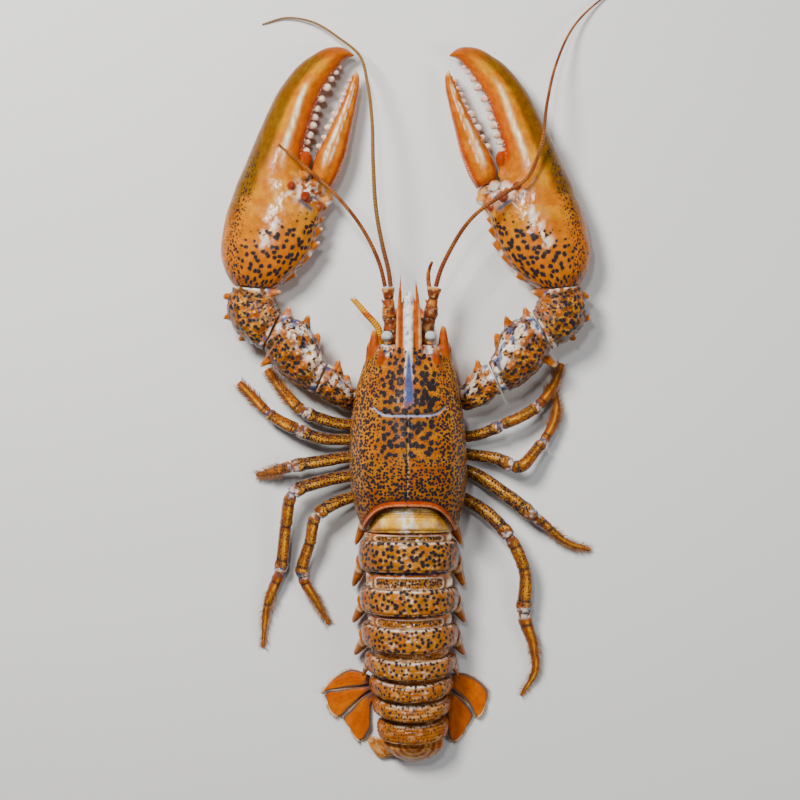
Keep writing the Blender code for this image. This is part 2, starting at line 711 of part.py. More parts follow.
LEGS = {
    # x, y, z, radius of points down the leg, then the shares where its pieces meet
    "leg_left_1": (
        (
            (-HIP_X, 5.0, 7.0, 2.9),
            (-32.7, 2.6, 8.0, 3.1),
            (-46.0, 5.6, 11.0, 3.2),
            (-56.8, 10.1, 12.4, 3.4),
            (-66.0, 19.0, 8.6, 2.9),
            (-75.8, 31.8, 2.8, 2.2),
        ),
        (0.58,),
    ),
    "leg_left_2": (
        (
            (-HIP_X, -3.6, 7.0, 2.9),
            (-32.7, -5.4, 8.2, 3.1),
            (-48.0, -4.4, 11.6, 3.3),
            (-59.4, 0.0, 12.4, 3.5),
            (-74.6, 8.4, 8.0, 3.0),
            (-84.0, 18.0, 4.6, 2.4),
            (-91.0, 25.0, 2.4, 1.7),
        ),
        (0.52, 0.73),
    ),
    "leg_left_3": (
        (
            (-HIP_X, -13.0, 7.0, 2.9),
            (-32.7, -14.8, 8.4, 3.2),
            (-48.0, -17.2, 11.4, 3.5),
            (-62.4, -19.6, 11.0, 3.4),
            (-73.0, -22.6, 6.0, 2.4),
            (-81.6, -24.4, 2.2, 0.9),
        ),
        (0.70,),
    ),
    "leg_left_4": (
        (
            (-HIP_X, -21.6, 7.0, 3.0),
            (-31.1, -24.7, 8.6, 3.3),
            (-47.0, -27.8, 12.6, 3.6),
            (-61.2, -33.6, 14.6, 3.6),
            (-65.2, -49.7, 11.0, 3.2),
            (-68.6, -75.2, 6.0, 3.4),
            (-75.7, -94.0, 3.6, 2.2),
            (-78.4, -117.0, 1.2, 0.7),
        ),
        (0.36, 0.68),
    ),
    "leg_left_5": (
        (
            (-HIP_X, -31.0, 7.0, 3.0),
            (-29.8, -36.0, 8.4, 3.3),
            (-39.6, -39.4, 12.0, 3.6),
            (-48.8, -45.8, 13.6, 3.5),
            (-52.4, -59.6, 11.0, 3.1),
            (-56.8, -77.4, 6.4, 3.4),
            (-49.6, -91.8, 3.6, 2.0),
            (-42.8, -104.6, 1.1, 0.6),
        ),
        (0.36, 0.70),
    ),
    "leg_right_1": (
        (
            (HIP_X, 1.0, 7.0, 2.9),
            (30.4, -3.4, 8.0, 3.0),
            (52.1, 3.7, 12.0, 3.2),
            (69.4, 13.2, 9.0, 3.1),
            (77.6, 23.8, 5.0, 2.5),
            (82.2, 35.2, 2.4, 1.6),
        ),
        (0.42, 0.68),
    ),
    "leg_right_2": (
        (
            (HIP_X, -8.6, 7.0, 2.9),
            (30.4, -12.7, 8.2, 3.1),
            (46.0, -15.0, 11.6, 3.4),
            (59.6, -19.2, 12.6, 3.6),
            (67.8, -11.2, 9.4, 3.1),
            (74.8, -2.0, 6.6, 2.8),
            (79.2, 9.0, 4.2, 2.4),
            (78.8, 20.8, 2.0, 1.2),
        ),
        (0.44, 0.68),
    ),
    "leg_right_3": (
        (
            (HIP_X, -18.6, 7.0, 3.0),
            (33.0, -22.4, 8.6, 3.4),
            (50.6, -33.4, 12.6, 3.8),
            (64.8, -44.4, 12.4, 3.8),
            (73.8, -51.4, 8.4, 2.6),
            (83.9, -59.9, 4.6, 2.0),
            (97.4, -64.5, 1.6, 1.2),
        ),
        (0.62,),
    ),
    "leg_right_4": (
        (
            (HIP_X, -31.0, 7.0, 3.0),
            (30.7, -37.2, 8.6, 3.4),
            (42.4, -44.6, 12.4, 3.7),
            (53.2, -56.2, 14.4, 3.6),
            (62.0, -75.1, 11.0, 3.4),
            (62.4, -100.7, 6.0, 4.0),
            (67.0, -116.0, 4.4, 2.6),
            (67.8, -130.0, 2.6, 2.0),
            (60.4, -142.8, 1.0, 0.6),
        ),
        (0.34, 0.65),
    ),
}
LEG_PIECE_NAMES = {2: ("upper", "lower"), 3: ("upper", "shin", "tip")}


def leg(name):
    """A leg of two or three shell pieces cut from one smooth path, with a collar at each joint."""
    rows, cuts = LEGS[name]
    table = np.array(rows, float)
    length = np.linalg.norm(np.diff(table[:, :2], axis=0), axis=1).sum()
    half_gap = GAP / 2 / length
    ends = (0.0, *cuts, 1.0)
    for i, piece in enumerate(LEG_PIECE_NAMES[len(ends) - 1]):
        start = ends[i] + (half_gap if i else 0.0)
        end = ends[i + 1] - (half_gap if i < len(cuts) else 0.0)

        def collar(place, start=start, end=end):
            """Narrow where a piece starts, full along it, and flared at its far rim."""
            share = (place - start) / (end - start)
            narrow = 0.74 + 0.26 * min(share / 0.1, 1.0)
            flare = 0.14 * math.exp(-(((share - 0.93) / 0.06) ** 2))
            return narrow + (flare if end < 1.0 else 0.0)

        shares = (0, 0.1, 0.35, 0.6, 0.84, 0.93, 1)
        places = [start + (end - start) * share for share in shares]
        rings = limb_rings(rows, places, LEG_SIDES, collar)
        add(f"{name}_{piece}", loft(rings), LEG_SHELL)


# Antennae and feelers

ANTENNA_BASES = {
    "antenna_base_left": (
        (-8.8, FACE_Y, 22.0, 4.0),
        (-9.2, 50.0, 22.8, 4.2),
        (-9.6, 57.0, 23.8, 3.4),
        (-10.4, 62.0, 24.6, 3.6),
        (-10.6, 69.0, 25.4, 2.7),
        (-10.9, 75.2, 26.0, 3.3),
    ),
    "antenna_base_right": (
        (8.8, FACE_Y, 22.0, 4.0),
        (9.2, 50.0, 22.8, 4.2),
        (10.4, 57.0, 23.8, 3.4),
        (11.6, 62.0, 24.6, 3.6),
        (12.8, 69.0, 25.4, 2.7),
        (13.9, 75.2, 26.0, 3.3),
    ),
}
WHIPS = {
    "antenna_left_long": (
        (-9.5, 75.8, 26.2, 1.30),
        (-10.7, 84.3, 28.6, 1.25),
        (-13.3, 94.9, 31.6, 1.20),
        (-17.0, 114.7, 35.4, 1.15),
        (-18.6, 138.9, 36.0, 1.05),
        (-19.3, 162.9, 32.0, 0.95),
        (-21.7, 182.9, 25.0, 0.88),
        (-25.9, 198.5, 18.0, 0.80),
        (-36.9, 209.0, 10.6, 0.70),
        (-52.6, 219.0, 4.6, 0.62),
        (-66.0, 221.2, 2.0, 0.55),
        (-78.8, 217.9, 0.7, 0.45),
    ),
    "antenna_left_short": (
        (-12.5, 75.8, 26.2, 1.15),
        (-14.6, 85.0, 28.8, 1.10),
        (-22.2, 102.3, 32.4, 1.05),
        (-36.9, 122.1, 33.0, 0.95),
        (-53.7, 137.8, 29.6, 0.80),
        (-68.8, 150.9, 26.0, 0.55),
    ),
    "antenna_right_long": (
        (14.3, 75.8, 26.2, 1.30),
        (16.8, 84.3, 28.6, 1.25),
        (20.8, 92.8, 30.6, 1.20),
        (33.3, 111.6, 33.2, 1.10),
        (51.1, 124.7, 32.6, 1.05),
        (61.5, 131.9, 30.8, 1.00),
        (69.5, 149.3, 29.0, 0.95),
        (73.2, 173.4, 25.0, 0.88),
        (78.4, 194.4, 16.0, 0.78),
        (89.9, 217.9, 6.0, 0.66),
        (101.5, 229.6, 2.4, 0.56),
        (111.0, 236.4, 0.7, 0.45),
    ),
}
FEELER_LEFT = (
    (-14.4, FACE_Y, 20.6, 1.4),
    (-15.4, 53.4, 23.0, 1.5),
    (-23.0, 62.0, 26.0, 1.5),
    (-30.4, 70.1, 28.0, 1.3),
)
FEELER_RIGHT = (
    # the loose strand beside the right whip, from the tip of the antenna's base
    (11.6, 71.0, 25.6, 1.5),
    (10.4, 78.0, 26.8, 1.2),
    (10.4, 83.0, 28.2, 1.05),
    (12.2, 88.6, 30.2, 0.8),
)
MOUTHPART = (
    (5.0, FACE_Y, 12.6, 2.6),
    (7.2, 54.0, 9.6, 2.7),
    (6.8, 61.0, 6.4, 2.3),
    (3.6, 67.0, 4.0, 1.1),
)


def stem(name, rows, ring_count, sides, finish):
    rings = limb_rings(rows, even(ring_count), sides, lambda place: 1.0)
    return add(name, loft(rings), finish)


def mouthparts():
    """The pair of folded mouth limbs under the head, joined where they leave it."""
    left = [(-x, y, z, radius) for x, y, z, radius in MOUTHPART]
    bridge = [(-5.0, 47.6, 12.0, 1.8), (5.0, 47.6, 12.0, 1.8)]
    made = stem("mouthparts", MOUTHPART, 6, MOUTH_SIDES, FEELER)
    others = [
        loft(limb_rings(rows, even(count), MOUTH_SIDES, lambda place: 1.0))
        for rows, count in ((left, 6), (bridge, 2))
    ]
    return fuse(made, others)


def build():
    clear_scene()
    carapace()
    sternum()
    for side in (-1, 1):
        eye(side)
    first_tail_segment()
    for row in TAIL_SEGMENTS:
        tail_segment(*row)
    telson()
    for name, rows in FAN_PLATES.items():
        fan_plate(name, rows)
    for side in ("left", "right"):
        claw(side)
        finger(side)
        arm_piece("wrist", side, WRIST_ROWS, WRIST_THORNS, 7)
        arm_piece("upper_arm", side, UPPER_ARM_ROWS, UPPER_ARM_THORNS, 7)
        arm_piece("arm_base", side, ARM_BASE_ROWS, ARM_BASE_THORNS, 8)
    for name in LEGS:
        leg(name)
    for name, rows in ANTENNA_BASES.items():
        base = stem(name, rows, 9, LEG_SIDES, FEELER)
        if name == "antenna_base_right":
            fuse(base, [loft(limb_rings(FEELER_RIGHT, even(6), LEG_SIDES, lambda place: 1.0))])
    for name, rows in WHIPS.items():
        stem(name, rows, 23, WHIP_SIDES, FEELER)
    stem("feeler_left", FEELER_LEFT, 6, LEG_SIDES, FEELER)
    mouthparts()


build()
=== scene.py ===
"""The looks of the cooked lobster: fine meshes that stand for the plain solids of the frame.

Lengths are in millimetres in the frame's own axes and become metres where a mesh is made. The
photograph looks straight down, so +Y is up in the picture and -X is the viewer's left.
"""

import itertools
import math

import bpy
import numpy as np
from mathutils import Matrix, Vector


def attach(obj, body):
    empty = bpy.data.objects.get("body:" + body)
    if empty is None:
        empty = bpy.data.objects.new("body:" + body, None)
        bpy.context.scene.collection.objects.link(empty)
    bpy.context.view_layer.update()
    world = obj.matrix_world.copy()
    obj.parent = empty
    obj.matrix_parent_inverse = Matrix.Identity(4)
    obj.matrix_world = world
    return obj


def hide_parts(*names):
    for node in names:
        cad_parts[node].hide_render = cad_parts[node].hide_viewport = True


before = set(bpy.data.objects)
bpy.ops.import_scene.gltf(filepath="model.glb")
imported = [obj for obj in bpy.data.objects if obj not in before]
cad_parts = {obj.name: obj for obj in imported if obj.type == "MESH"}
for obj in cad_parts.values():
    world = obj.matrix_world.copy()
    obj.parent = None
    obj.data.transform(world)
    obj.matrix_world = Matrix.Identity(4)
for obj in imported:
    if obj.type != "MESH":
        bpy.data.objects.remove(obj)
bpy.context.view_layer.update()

MM = 0.001
GAP = 0.35  # between neighbouring solids
DEEPENING = 0.32  # how much darker a pure red is laid on
SEED = 4

# How fine the meshes are
CARAPACE_VOXEL = 0.74
CLAW_VOXEL = 0.73
ARM_VOXEL = 0.6
RELAX_ROUNDS = 3
CARAPACE_SIDES = 132
CLAW_RINGS = 150
CLAW_SIDES = 96
FINGER_RINGS = 130
FINGER_SIDES = 88
ARM_RINGS = 70
ARM_SIDES = 72
TAIL_SIDES = 168
FAN_RINGS = 90
FAN_SIDES = 96
LEG_RINGS = 72
LEG_SIDES = 32
WHIP_SIDES = 12
FEELER_SIDES = 20
STERNUM_SIDES = 72

# Driving dimensions, as in the solids.
CARAPACE_TOP = 48.0
CARAPACE_LOW = 12.2
CARAPACE_FRONT = 44.5
FACE_Y = CARAPACE_FRONT + 1.1
CERVICAL_GROOVE_Y = 7.6
POCKET_WALL_Y = -31.0
SIDE_Z = 22.0
HIP_X = 15.5
TAIL_HALF_WIDTH = 27.0
TAIL_LOW = 0.6
TAIL_SIDE_Z = 11.0
CLAW_HALF_THICKNESS = 13.5
RIGHT_LEAN = 0.0385
LEAN_FROM_Y = 10.0


# Colours


def tint(red, green, blue):
    """A base colour in linear light."""
    return np.array([red, green, blue])


GOLD = tint(0.540, 0.175, 0.001)
YELLOW = tint(0.680, 0.270, 0.008)
ORANGE = tint(0.500, 0.112, 0.000)
DEEP_ORANGE = tint(0.470, 0.070, 0.000)
RED = tint(0.520, 0.032, 0.000)
BROWN_RED = tint(0.190, 0.026, 0.010)
OLIVE = tint(0.125, 0.054, 0.002)
BROWN = tint(0.150, 0.044, 0.010)
PALE = tint(0.800, 0.500, 0.210)
WHITE = tint(0.860, 0.850, 0.740)
NAVY = tint(0.004, 0.008, 0.014)
BLUE = tint(0.001, 0.066, 0.235)
HALO_COLOUR = tint(0.200, 0.085, 0.006)
TOOTH = tint(0.640, 0.380, 0.260)
PEARL = tint(0.560, 0.620, 0.600)


# Numbers over many points


def ramp(value, low, high):
    """0 at low and 1 at high, with a soft rise between them."""
    share = np.clip((value - low) / (high - low), 0, 1)
    return share * share * (3 - 2 * share)


def hump(value, centre, width):
    """1 at the centre, fading to 0 on both sides."""
    return np.exp(-(((value - centre) / width) ** 2))


def mix(first, second, share):
    """The first colour where share is 0, and the second where it is 1."""
    share = np.asarray(share)[..., None]
    return first * (1 - share) + second * share


def noise(points, size, seed=0):
    """Smooth lumps from 0 to 1 of about the given size."""
    cells = points / size + 31.7 * (seed + 1)
    low = np.floor(cells).astype(np.int64)
    share = cells - low
    share = share * share * (3 - 2 * share)
    total = np.zeros(len(points))
    for corner in itertools.product((0, 1), repeat=3):
        at = low + corner
        mixed = at[:, 0] * 73856093 ^ at[:, 1] * 19349663 ^ at[:, 2] * 83492791
        level = (mixed * 2654435761 % 4294967296) / 4294967296
        weight = np.prod(np.where(np.array(corner) == 1, share, 1 - share), axis=1)
        total += level * weight
    return total


def rough(points, size, seed=0):
    """Noise of three sizes, from 0 to 1."""
    return (
        noise(points, size, seed) * 0.55
        + noise(points, size / 2.1, seed + 1) * 0.3
        + noise(points, size / 4.3, seed + 2) * 0.15
    )


def in_patches(points, size, seed, low, high):
    """1 inside ragged patches of about the given size, and 0 outside them."""
    return ramp(rough(points, size, seed), low, high)


def in_flecks(points, size, seed, low, high):
    """1 inside round flecks of about the given size, and 0 outside them."""
    return ramp(noise(points, size, seed), low, high)


def dappled(points, first, second, size, seed, low=0.4, high=0.62):
    """Two colours in soft patches."""
    return mix(first, second, in_patches(points, size, seed, low, high))


def smooth_rows(rows, places):
    """Rows read at shares of the way along a smooth curve, measured over the first two columns."""
    table = np.array(rows, float)
    steps = np.linalg.norm(np.diff(table[:, :2], axis=0), axis=1)
    along = np.concatenate([[0.0], np.cumsum(steps)])
    slopes = np.gradient(table, along, axis=0)
    way = np.asarray(places, float) * along[-1]
    i = np.clip(np.searchsorted(along, way, side="right") - 1, 0, len(along) - 2)
    span = (along[i + 1] - along[i])[:, None]
    t = (way - along[i])[:, None] / span
    start = (1 + 2 * t) * (1 - t) ** 2
    end = t * t * (3 - 2 * t)
    leave = t * (1 - t) ** 2 * span
    arrive = t * t * (t - 1) * span
    return start * table[i] + end * table[i + 1] + leave * slopes[i] + arrive * slopes[i + 1]


def even(count):
    return np.linspace(0, 1, count)


def eased(count, bunch=0.5):
    """Places from 0 to 1 that crowd towards both ends."""
    plain = even(count)
    return plain * (1 - bunch) + (1 - np.cos(plain * math.pi)) / 2 * bunch


def oval(sides, top_power=2.0, low_power=2.0):
    """Two arrays (u, v) round an oval, from -1 to 1, starting at the bottom."""
    turn = 2 * math.pi * np.arange(sides) / sides - math.pi / 2
    across, up = np.cos(turn), np.sin(turn)
    power = np.where(up > 0, top_power, low_power)
    u = np.sign(across) * np.abs(across) ** (2 / power)
    v = np.sign(up) * np.abs(up) ** (2 / power)
    return u, v


# Shapes as (points, faces)


def skin_of(rings):
    """A closed shape over an array of rings, with a fan at both ends."""
    rings = np.asarray(rings, float)
    count, sides, _ = rings.shape
    points = np.vstack([rings.reshape(-1, 3), rings[0].mean(0)[None], rings[-1].mean(0)[None]])
    base = (np.arange(count - 1) * sides)[:, None]
    side = np.arange(sides)[None]
    after = (side + 1) % sides
    quads = np.stack(
        [base + side, base + after, base + sides + after, base + sides + side], axis=-1
    )
    faces = [tuple(quad) for quad in quads.reshape(-1, 4).tolist()]
    first, last = count * sides, count * sides + 1
    tail = (count - 1) * sides
    for i in range(sides):
        j = (i + 1) % sides
        faces.append((first, j, i))
        faces.append((last, tail + i, tail + j))
    return points, faces


def joined(shapes):
    """Several shapes as one."""
    points, faces, start = [], [], 0
    for some_points, some_faces in shapes:
        points.append(some_points)
        faces += [tuple(i + start for i in face) for face in some_faces]
        start += len(some_points)
    return np.vstack(points), faces


def ball(centre, radius, rings=9, sides=14):
    """A round bead."""
    turn = np.linspace(-math.pi / 2, math.pi / 2, rings + 2)[1:-1]
    around = 2 * math.pi * np.arange(sides) / sides
    ring = np.stack([np.cos(around), np.sin(around), np.zeros(sides)], axis=-1)
    rings_at = [ring * math.cos(t) + np.array([0, 0, math.sin(t)]) for t in turn]
    return skin_of(np.array(rings_at) * radius + np.array(centre))


def frame_along(path):
    """(sideways, upwards) unit vectors square to each point of a path."""
    axis = np.gradient(path, axis=0)
    axis /= np.linalg.norm(axis, axis=1)[:, None]
    across = np.cross(axis, (0, 0, 1.0))
    across /= np.linalg.norm(across, axis=1)[:, None]
    return across, np.cross(across, axis)


def limb(rows, places, sides, radius_at=None, flat=1.0):
    """Rings square to a smooth path of (x, y, z, radius). radius_at(places, turn) scales them."""
    table = smooth_rows(rows, places)
    across, up = frame_along(table[:, :3])
    u, v = oval(sides)
    radius = np.repeat(table[:, 3:4], sides, axis=1)
    if radius_at is not None:
        radius = radius * radius_at(np.asarray(places)[:, None], np.arctan2(v, u)[None])
    offset = across[:, None] * (u * flat)[None, :, None] + up[:, None] * v[None, :, None]
    return table[:, None, :3] + offset * radius[..., None]


def spine_shape(base, tip, radius, sides=12, flat=1.0, sink=0.25, blunt=0.80):
    """A thorn with a flared foot and a blunt tip."""
    base, tip = np.array(base, float), np.array(tip, float)
    axis = tip - base
    across = np.cross(axis, (0, 0, 1.0))
    across /= np.linalg.norm(across)
    up = np.cross(across, axis)
    up /= np.linalg.norm(up)
    share = eased(10)
    width = radius * (1.12 * (1 - share) ** blunt + 0.08)
    path = base - axis * sink + axis * (1 + sink) * share[:, None]
    turn = 2 * math.pi * np.arange(sides) / sides
    ring = across * (np.cos(turn) * flat)[:, None] + up * np.sin(turn)[:, None]
    return skin_of(path[:, None] + ring[None] * width[:, None, None])


# Ribbons: the claws, arms and fan plates


def mirrored(rows):
    """Margins of the left side as those of the right side, which leans a little."""
    return [
        (
            -row[0] - RIGHT_LEAN * (row[1] - LEAN_FROM_Y),
            row[1],
            -row[2] - RIGHT_LEAN * (row[3] - LEAN_FROM_Y),
            row[3],
            *row[4:],
        )
        for row in rows
    ]


def sided(rows, side):
    """Margins for the left side, or mirrored for the right."""
    return rows if side == "left" else mirrored(rows)


class Ribbon:
    """A solid between an outer and an inner margin seen from above."""

    SAMPLES = 240
    BATCH = 4000  # points that locate() takes at a time

    def __init__(self, rows):
        rows = np.array(rows, float)
        self.table = np.hstack([(rows[:, :2] + rows[:, 2:4]) / 2, rows])
        read = smooth_rows(self.table, even(self.SAMPLES))
        self.centres = (read[:, 2:4] + read[:, 4:6]) / 2
        self.half_widths = (read[:, 2:4] - read[:, 4:6]) / 2
        self.heights = read[:, 6:8]

    def at(self, place):
        """The centre, the half width as a vector, and the half thickness at a place."""
        row = smooth_rows(self.table, [place])[0]
        outer, inner = row[2:4], row[4:6]
        centre = np.array([*(outer + inner) / 2, row[6]])
        return centre, np.array([*(outer - inner) / 2, 0.0]), row[7]

    def point(self, place, around, height=1.0):
        """A place on the skin, so many degrees round from the outer margin over the top."""
        centre, half_width, half_thickness = self.at(place)
        turn = math.radians(around)
        up = np.array([0, 0, half_thickness * math.sin(turn)])
        return centre + (half_width * math.cos(turn) + up) * height

    def rings(self, places, sides, power=2.2, crest=None):
        """Rings across the ribbon. crest(places, u) lifts the upper side by a share."""
        read = smooth_rows(self.table, places)
        centre = np.hstack([(read[:, 2:4] + read[:, 4:6]) / 2, read[:, 6:7]])
        half = np.hstack([(read[:, 2:4] - read[:, 4:6]) / 2, np.zeros((len(read), 1))])
        u, v = oval(sides, power, power)
        rise = np.repeat(v[None], len(read), axis=0)
        if crest is not None:
            lift = crest(np.asarray(places)[:, None], u[None])
            rise = np.where(rise > 0, rise * (1 + lift), rise)
        points = centre[:, None] + half[:, None] * u[None, :, None]
        points[..., 2] += rise * read[:, 7:8]
        return points

    def locate(self, points):
        """For points: share of the length, place across (1 outer, -1 inner), and height."""
        nearest = np.zeros(len(points), int)
        for start in range(0, len(points), self.BATCH):
            batch = slice(start, start + self.BATCH)
            offsets = points[batch, None, :2] - self.centres[None]
            nearest[batch] = (offsets**2).sum(-1).argmin(1)
        half = self.half_widths[nearest]
        offset = points[:, :2] - self.centres[nearest]
        across = (offset * half).sum(1) / (half**2).sum(1)
        up = (points[:, 2] - self.heights[nearest, 0]) / self.heights[nearest, 1]
        ahead = np.gradient(self.centres, axis=0)[nearest]
        further = np.clip((offset * ahead).sum(1) / (ahead**2).sum(1), -0.5, 0.5)
        return (nearest + further) / (self.SAMPLES - 1), across, up

    def on_top(self, x, y):
        """The point of the upper skin above a place in the plan."""
        place, across, _ = self.locate(np.array([[x, y, 0.0]]))
        centre, _, half_thickness = self.at(place[0])
        rise = (1 - min(abs(across[0]), 0.99) ** 2.2) ** (1 / 2.2)
        return np.array([x, y, centre[2] + half_thickness * rise])

    def thorn(self, place, around, length, radius, forward=0.3):
        """Base, tip and radius of a thorn that leans forward by a share of its length."""
        centre = self.at(place)[0]
        base = self.point(place, around, 0.93)
        ahead = self.at(min(place + 0.05, 1.0))[0] - self.at(max(place - 0.05, 0.0))[0]
        ahead /= np.linalg.norm(ahead)
        out = (base - centre) / np.linalg.norm(base - centre)
        lean = out + ahead * forward
        return base, base + lean / np.linalg.norm(lean) * length, radius


def sided_x(x, y, side):
    """A place of the left half, or the place across the body from it."""
    return x if side == "left" else -x - RIGHT_LEAN * (y - LEAN_FROM_Y)


def unrolled(place, across, up, girth, length):
    """Flat coordinates over a limb's skin: millimetres round it and along it."""
    return np.stack([np.arctan2(across, up) * girth, place * length, 0 * place], axis=-1)


# Meshes and finishes


def mesh_from(shape):
    """A mesh of a shape, in metres."""
    points, faces = shape
    mesh = bpy.data.meshes.new("draft")
    mesh.from_pydata((points * MM).tolist(), [], faces)
    return mesh


def remeshed(shapes, voxel):
    """One smooth skin over closed shapes that overlap."""
    draft = bpy.data.objects.new("draft", mesh_from(joined(shapes)))
    bpy.context.scene.collection.objects.link(draft)
    skin = draft.modifiers.new("skin", "REMESH")
    skin.mode = "VOXEL"
    skin.voxel_size = voxel * MM
    relax = draft.modifiers.new("relax", "SMOOTH")
    relax.factor = 0.5
    relax.iterations = RELAX_ROUNDS
    bpy.context.view_layer.update()
    graph = bpy.context.evaluated_depsgraph_get()
    mesh = bpy.data.meshes.new_from_object(draft.evaluated_get(graph))
    bpy.data.objects.remove(draft)
    return mesh


def points_of(mesh):
    """The points of a mesh, in millimetres."""
    flat = np.empty(len(mesh.vertices) * 3)
    mesh.vertices.foreach_get("co", flat)
    return flat.reshape(-1, 3) / MM


def normals_of(mesh):
    flat = np.empty(len(mesh.vertices) * 3)
    mesh.vertex_normals.foreach_get("vector", flat)
    return flat.reshape(-1, 3)


def pushed(mesh, amount):
    """Moves each point along its normal by so many millimetres."""
    points = points_of(mesh) + normals_of(mesh) * np.asarray(amount)[:, None]
    mesh.vertices.foreach_set("co", (points * MM).ravel())
    mesh.update()
    return points


def moved(mesh, points):
    """Puts each point at its new place."""
    mesh.vertices.foreach_set("co", (points * MM).ravel())
    mesh.update()


def deepened(colours):
    """Lays reds and oranges on darker, because bright ones come out pale."""
    red, green = colours[:, 0:1], colours[:, 1:2]
    redness = np.clip(1 - 1.6 * green / np.maximum(red, 1e-6), 0, 1)
    return colours * (1 - DEEPENING * redness)


def coloured(mesh, colours, spots=0.0, fine=0.0, flow=None):
    """Keeps each point's colour, how strong its large and small spots are, and where they fall."""
    count = len(mesh.vertices)
    paint = np.ones((count, 4))
    paint[:, :3] = np.clip(deepened(np.broadcast_to(colours, (count, 3))), 0, 1)
    mesh.attributes.new("paint", "FLOAT_COLOR", "POINT").data.foreach_set("color", paint.ravel())
    for name, level in (("spots", spots), ("fine", fine)):
        levels = np.broadcast_to(np.asarray(level, float), (count,)).copy()
        mesh.attributes.new(name, "FLOAT", "POINT").data.foreach_set("value", levels)
    where = points_of(mesh) if flow is None else flow
    mesh.attributes.new("flow", "FLOAT_VECTOR", "POINT").data.foreach_set(
        "vector", where.astype(float).ravel()
    )


def piece(name, mesh, material, slot, *nodes, sharp=None):
    """A finished object that stands for the named nodes."""
    mesh.shade_smooth()
    if sharp:
        mesh.set_sharp_from_angle(angle=math.radians(sharp))
    mesh.name = name
    mesh.materials.append(material)
    obj = bpy.data.objects.new(name, mesh)
    bpy.context.scene.collection.objects.link(obj)
    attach(obj, "root")
    if nodes:
        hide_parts(*nodes)
    return obj


class Nodes:
    """Short ways to add shader nodes to a material."""

    def __init__(self, name):
        self.material = bpy.data.materials.new(name)
        self.material.use_nodes = True
        self.tree = self.material.node_tree
        self.shader = self.tree.nodes["Principled BSDF"]

    def link(self, source, socket):
        self.tree.links.new(source, socket)

    def add(self, kind, **settings):
        node = self.tree.nodes.new(kind)
        for name, value in settings.items():
            setattr(node, name, value)
        return node

    def attribute(self, name, output):
        return self.add("ShaderNodeAttribute", attribute_name=name).outputs[output]

    def maths(self, operation, first, second=None, clamp=False):
        node = self.add("ShaderNodeMath", operation=operation, use_clamp=clamp)
        for socket, value in zip(node.inputs, (first, second)):
            if value is None:
                continue
            if isinstance(value, (int, float)):
                socket.default_value = value
            else:
                self.link(value, socket)
        return node.outputs[0]

    def map(self, value, low, high, to_low=0.0, to_high=1.0):
        node = self.add("ShaderNodeMapRange", interpolation_type="SMOOTHSTEP")
        self.link(value, node.inputs["Value"])
        for name, level in (
            ("From Min", low),
            ("From Max", high),
            ("To Min", to_low),
            ("To Max", to_high),
        ):
            if isinstance(level, (int, float)):
                node.inputs[name].default_value = level
            else:
                self.link(level, node.inputs[name])
        return node.outputs["Result"]

    def blend(self, share, first, second, kind="MIX"):
        node = self.add("ShaderNodeMix", data_type="RGBA", blend_type=kind)
        # A mixer has its colour sockets sixth and seventh, and its colour result second.
        for socket, value in zip((node.inputs[i] for i in (0, 6, 7)), (share, first, second)):
            if isinstance(value, (int, float)):
                socket.default_value = value
            elif isinstance(value, (tuple, list, np.ndarray)):
                socket.default_value = (*value[:3], 1.0)
            else:
                self.link(value, socket)
        return node.outputs[2]

    def noise(self, vector, scale, detail=3.0):
        node = self.add("ShaderNodeTexNoise")
        self.link(vector, node.inputs["Vector"])
        node.inputs["Scale"].default_value = scale
        node.inputs["Detail"].default_value = detail
        return node.outputs["Fac"]

    def cells(self, vector, scale, randomness=0.9):
        node = self.add("ShaderNodeTexVoronoi", feature="F1", voronoi_dimensions="2D")
        self.link(vector, node.inputs["Vector"])
        node.inputs["Scale"].default_value = scale
        node.inputs["Randomness"].default_value = randomness
        return node.outputs["Distance"]

    def bump(self, height, depth_mm, after=None):
        node = self.add("ShaderNodeBump")
        node.inputs["Strength"].default_value = 1.0
        node.inputs["Distance"].default_value = depth_mm * MM
        self.link(height, node.inputs["Height"])
        if after is not None:
            self.link(after, node.inputs["Normal"])
        return node.outputs["Normal"]


SPOT_WOBBLE = 0.9  # millimetres by which a noise bends the pattern of spots
COAT_ROUGHNESS = 0.08
PIT_DEPTH = 0.05


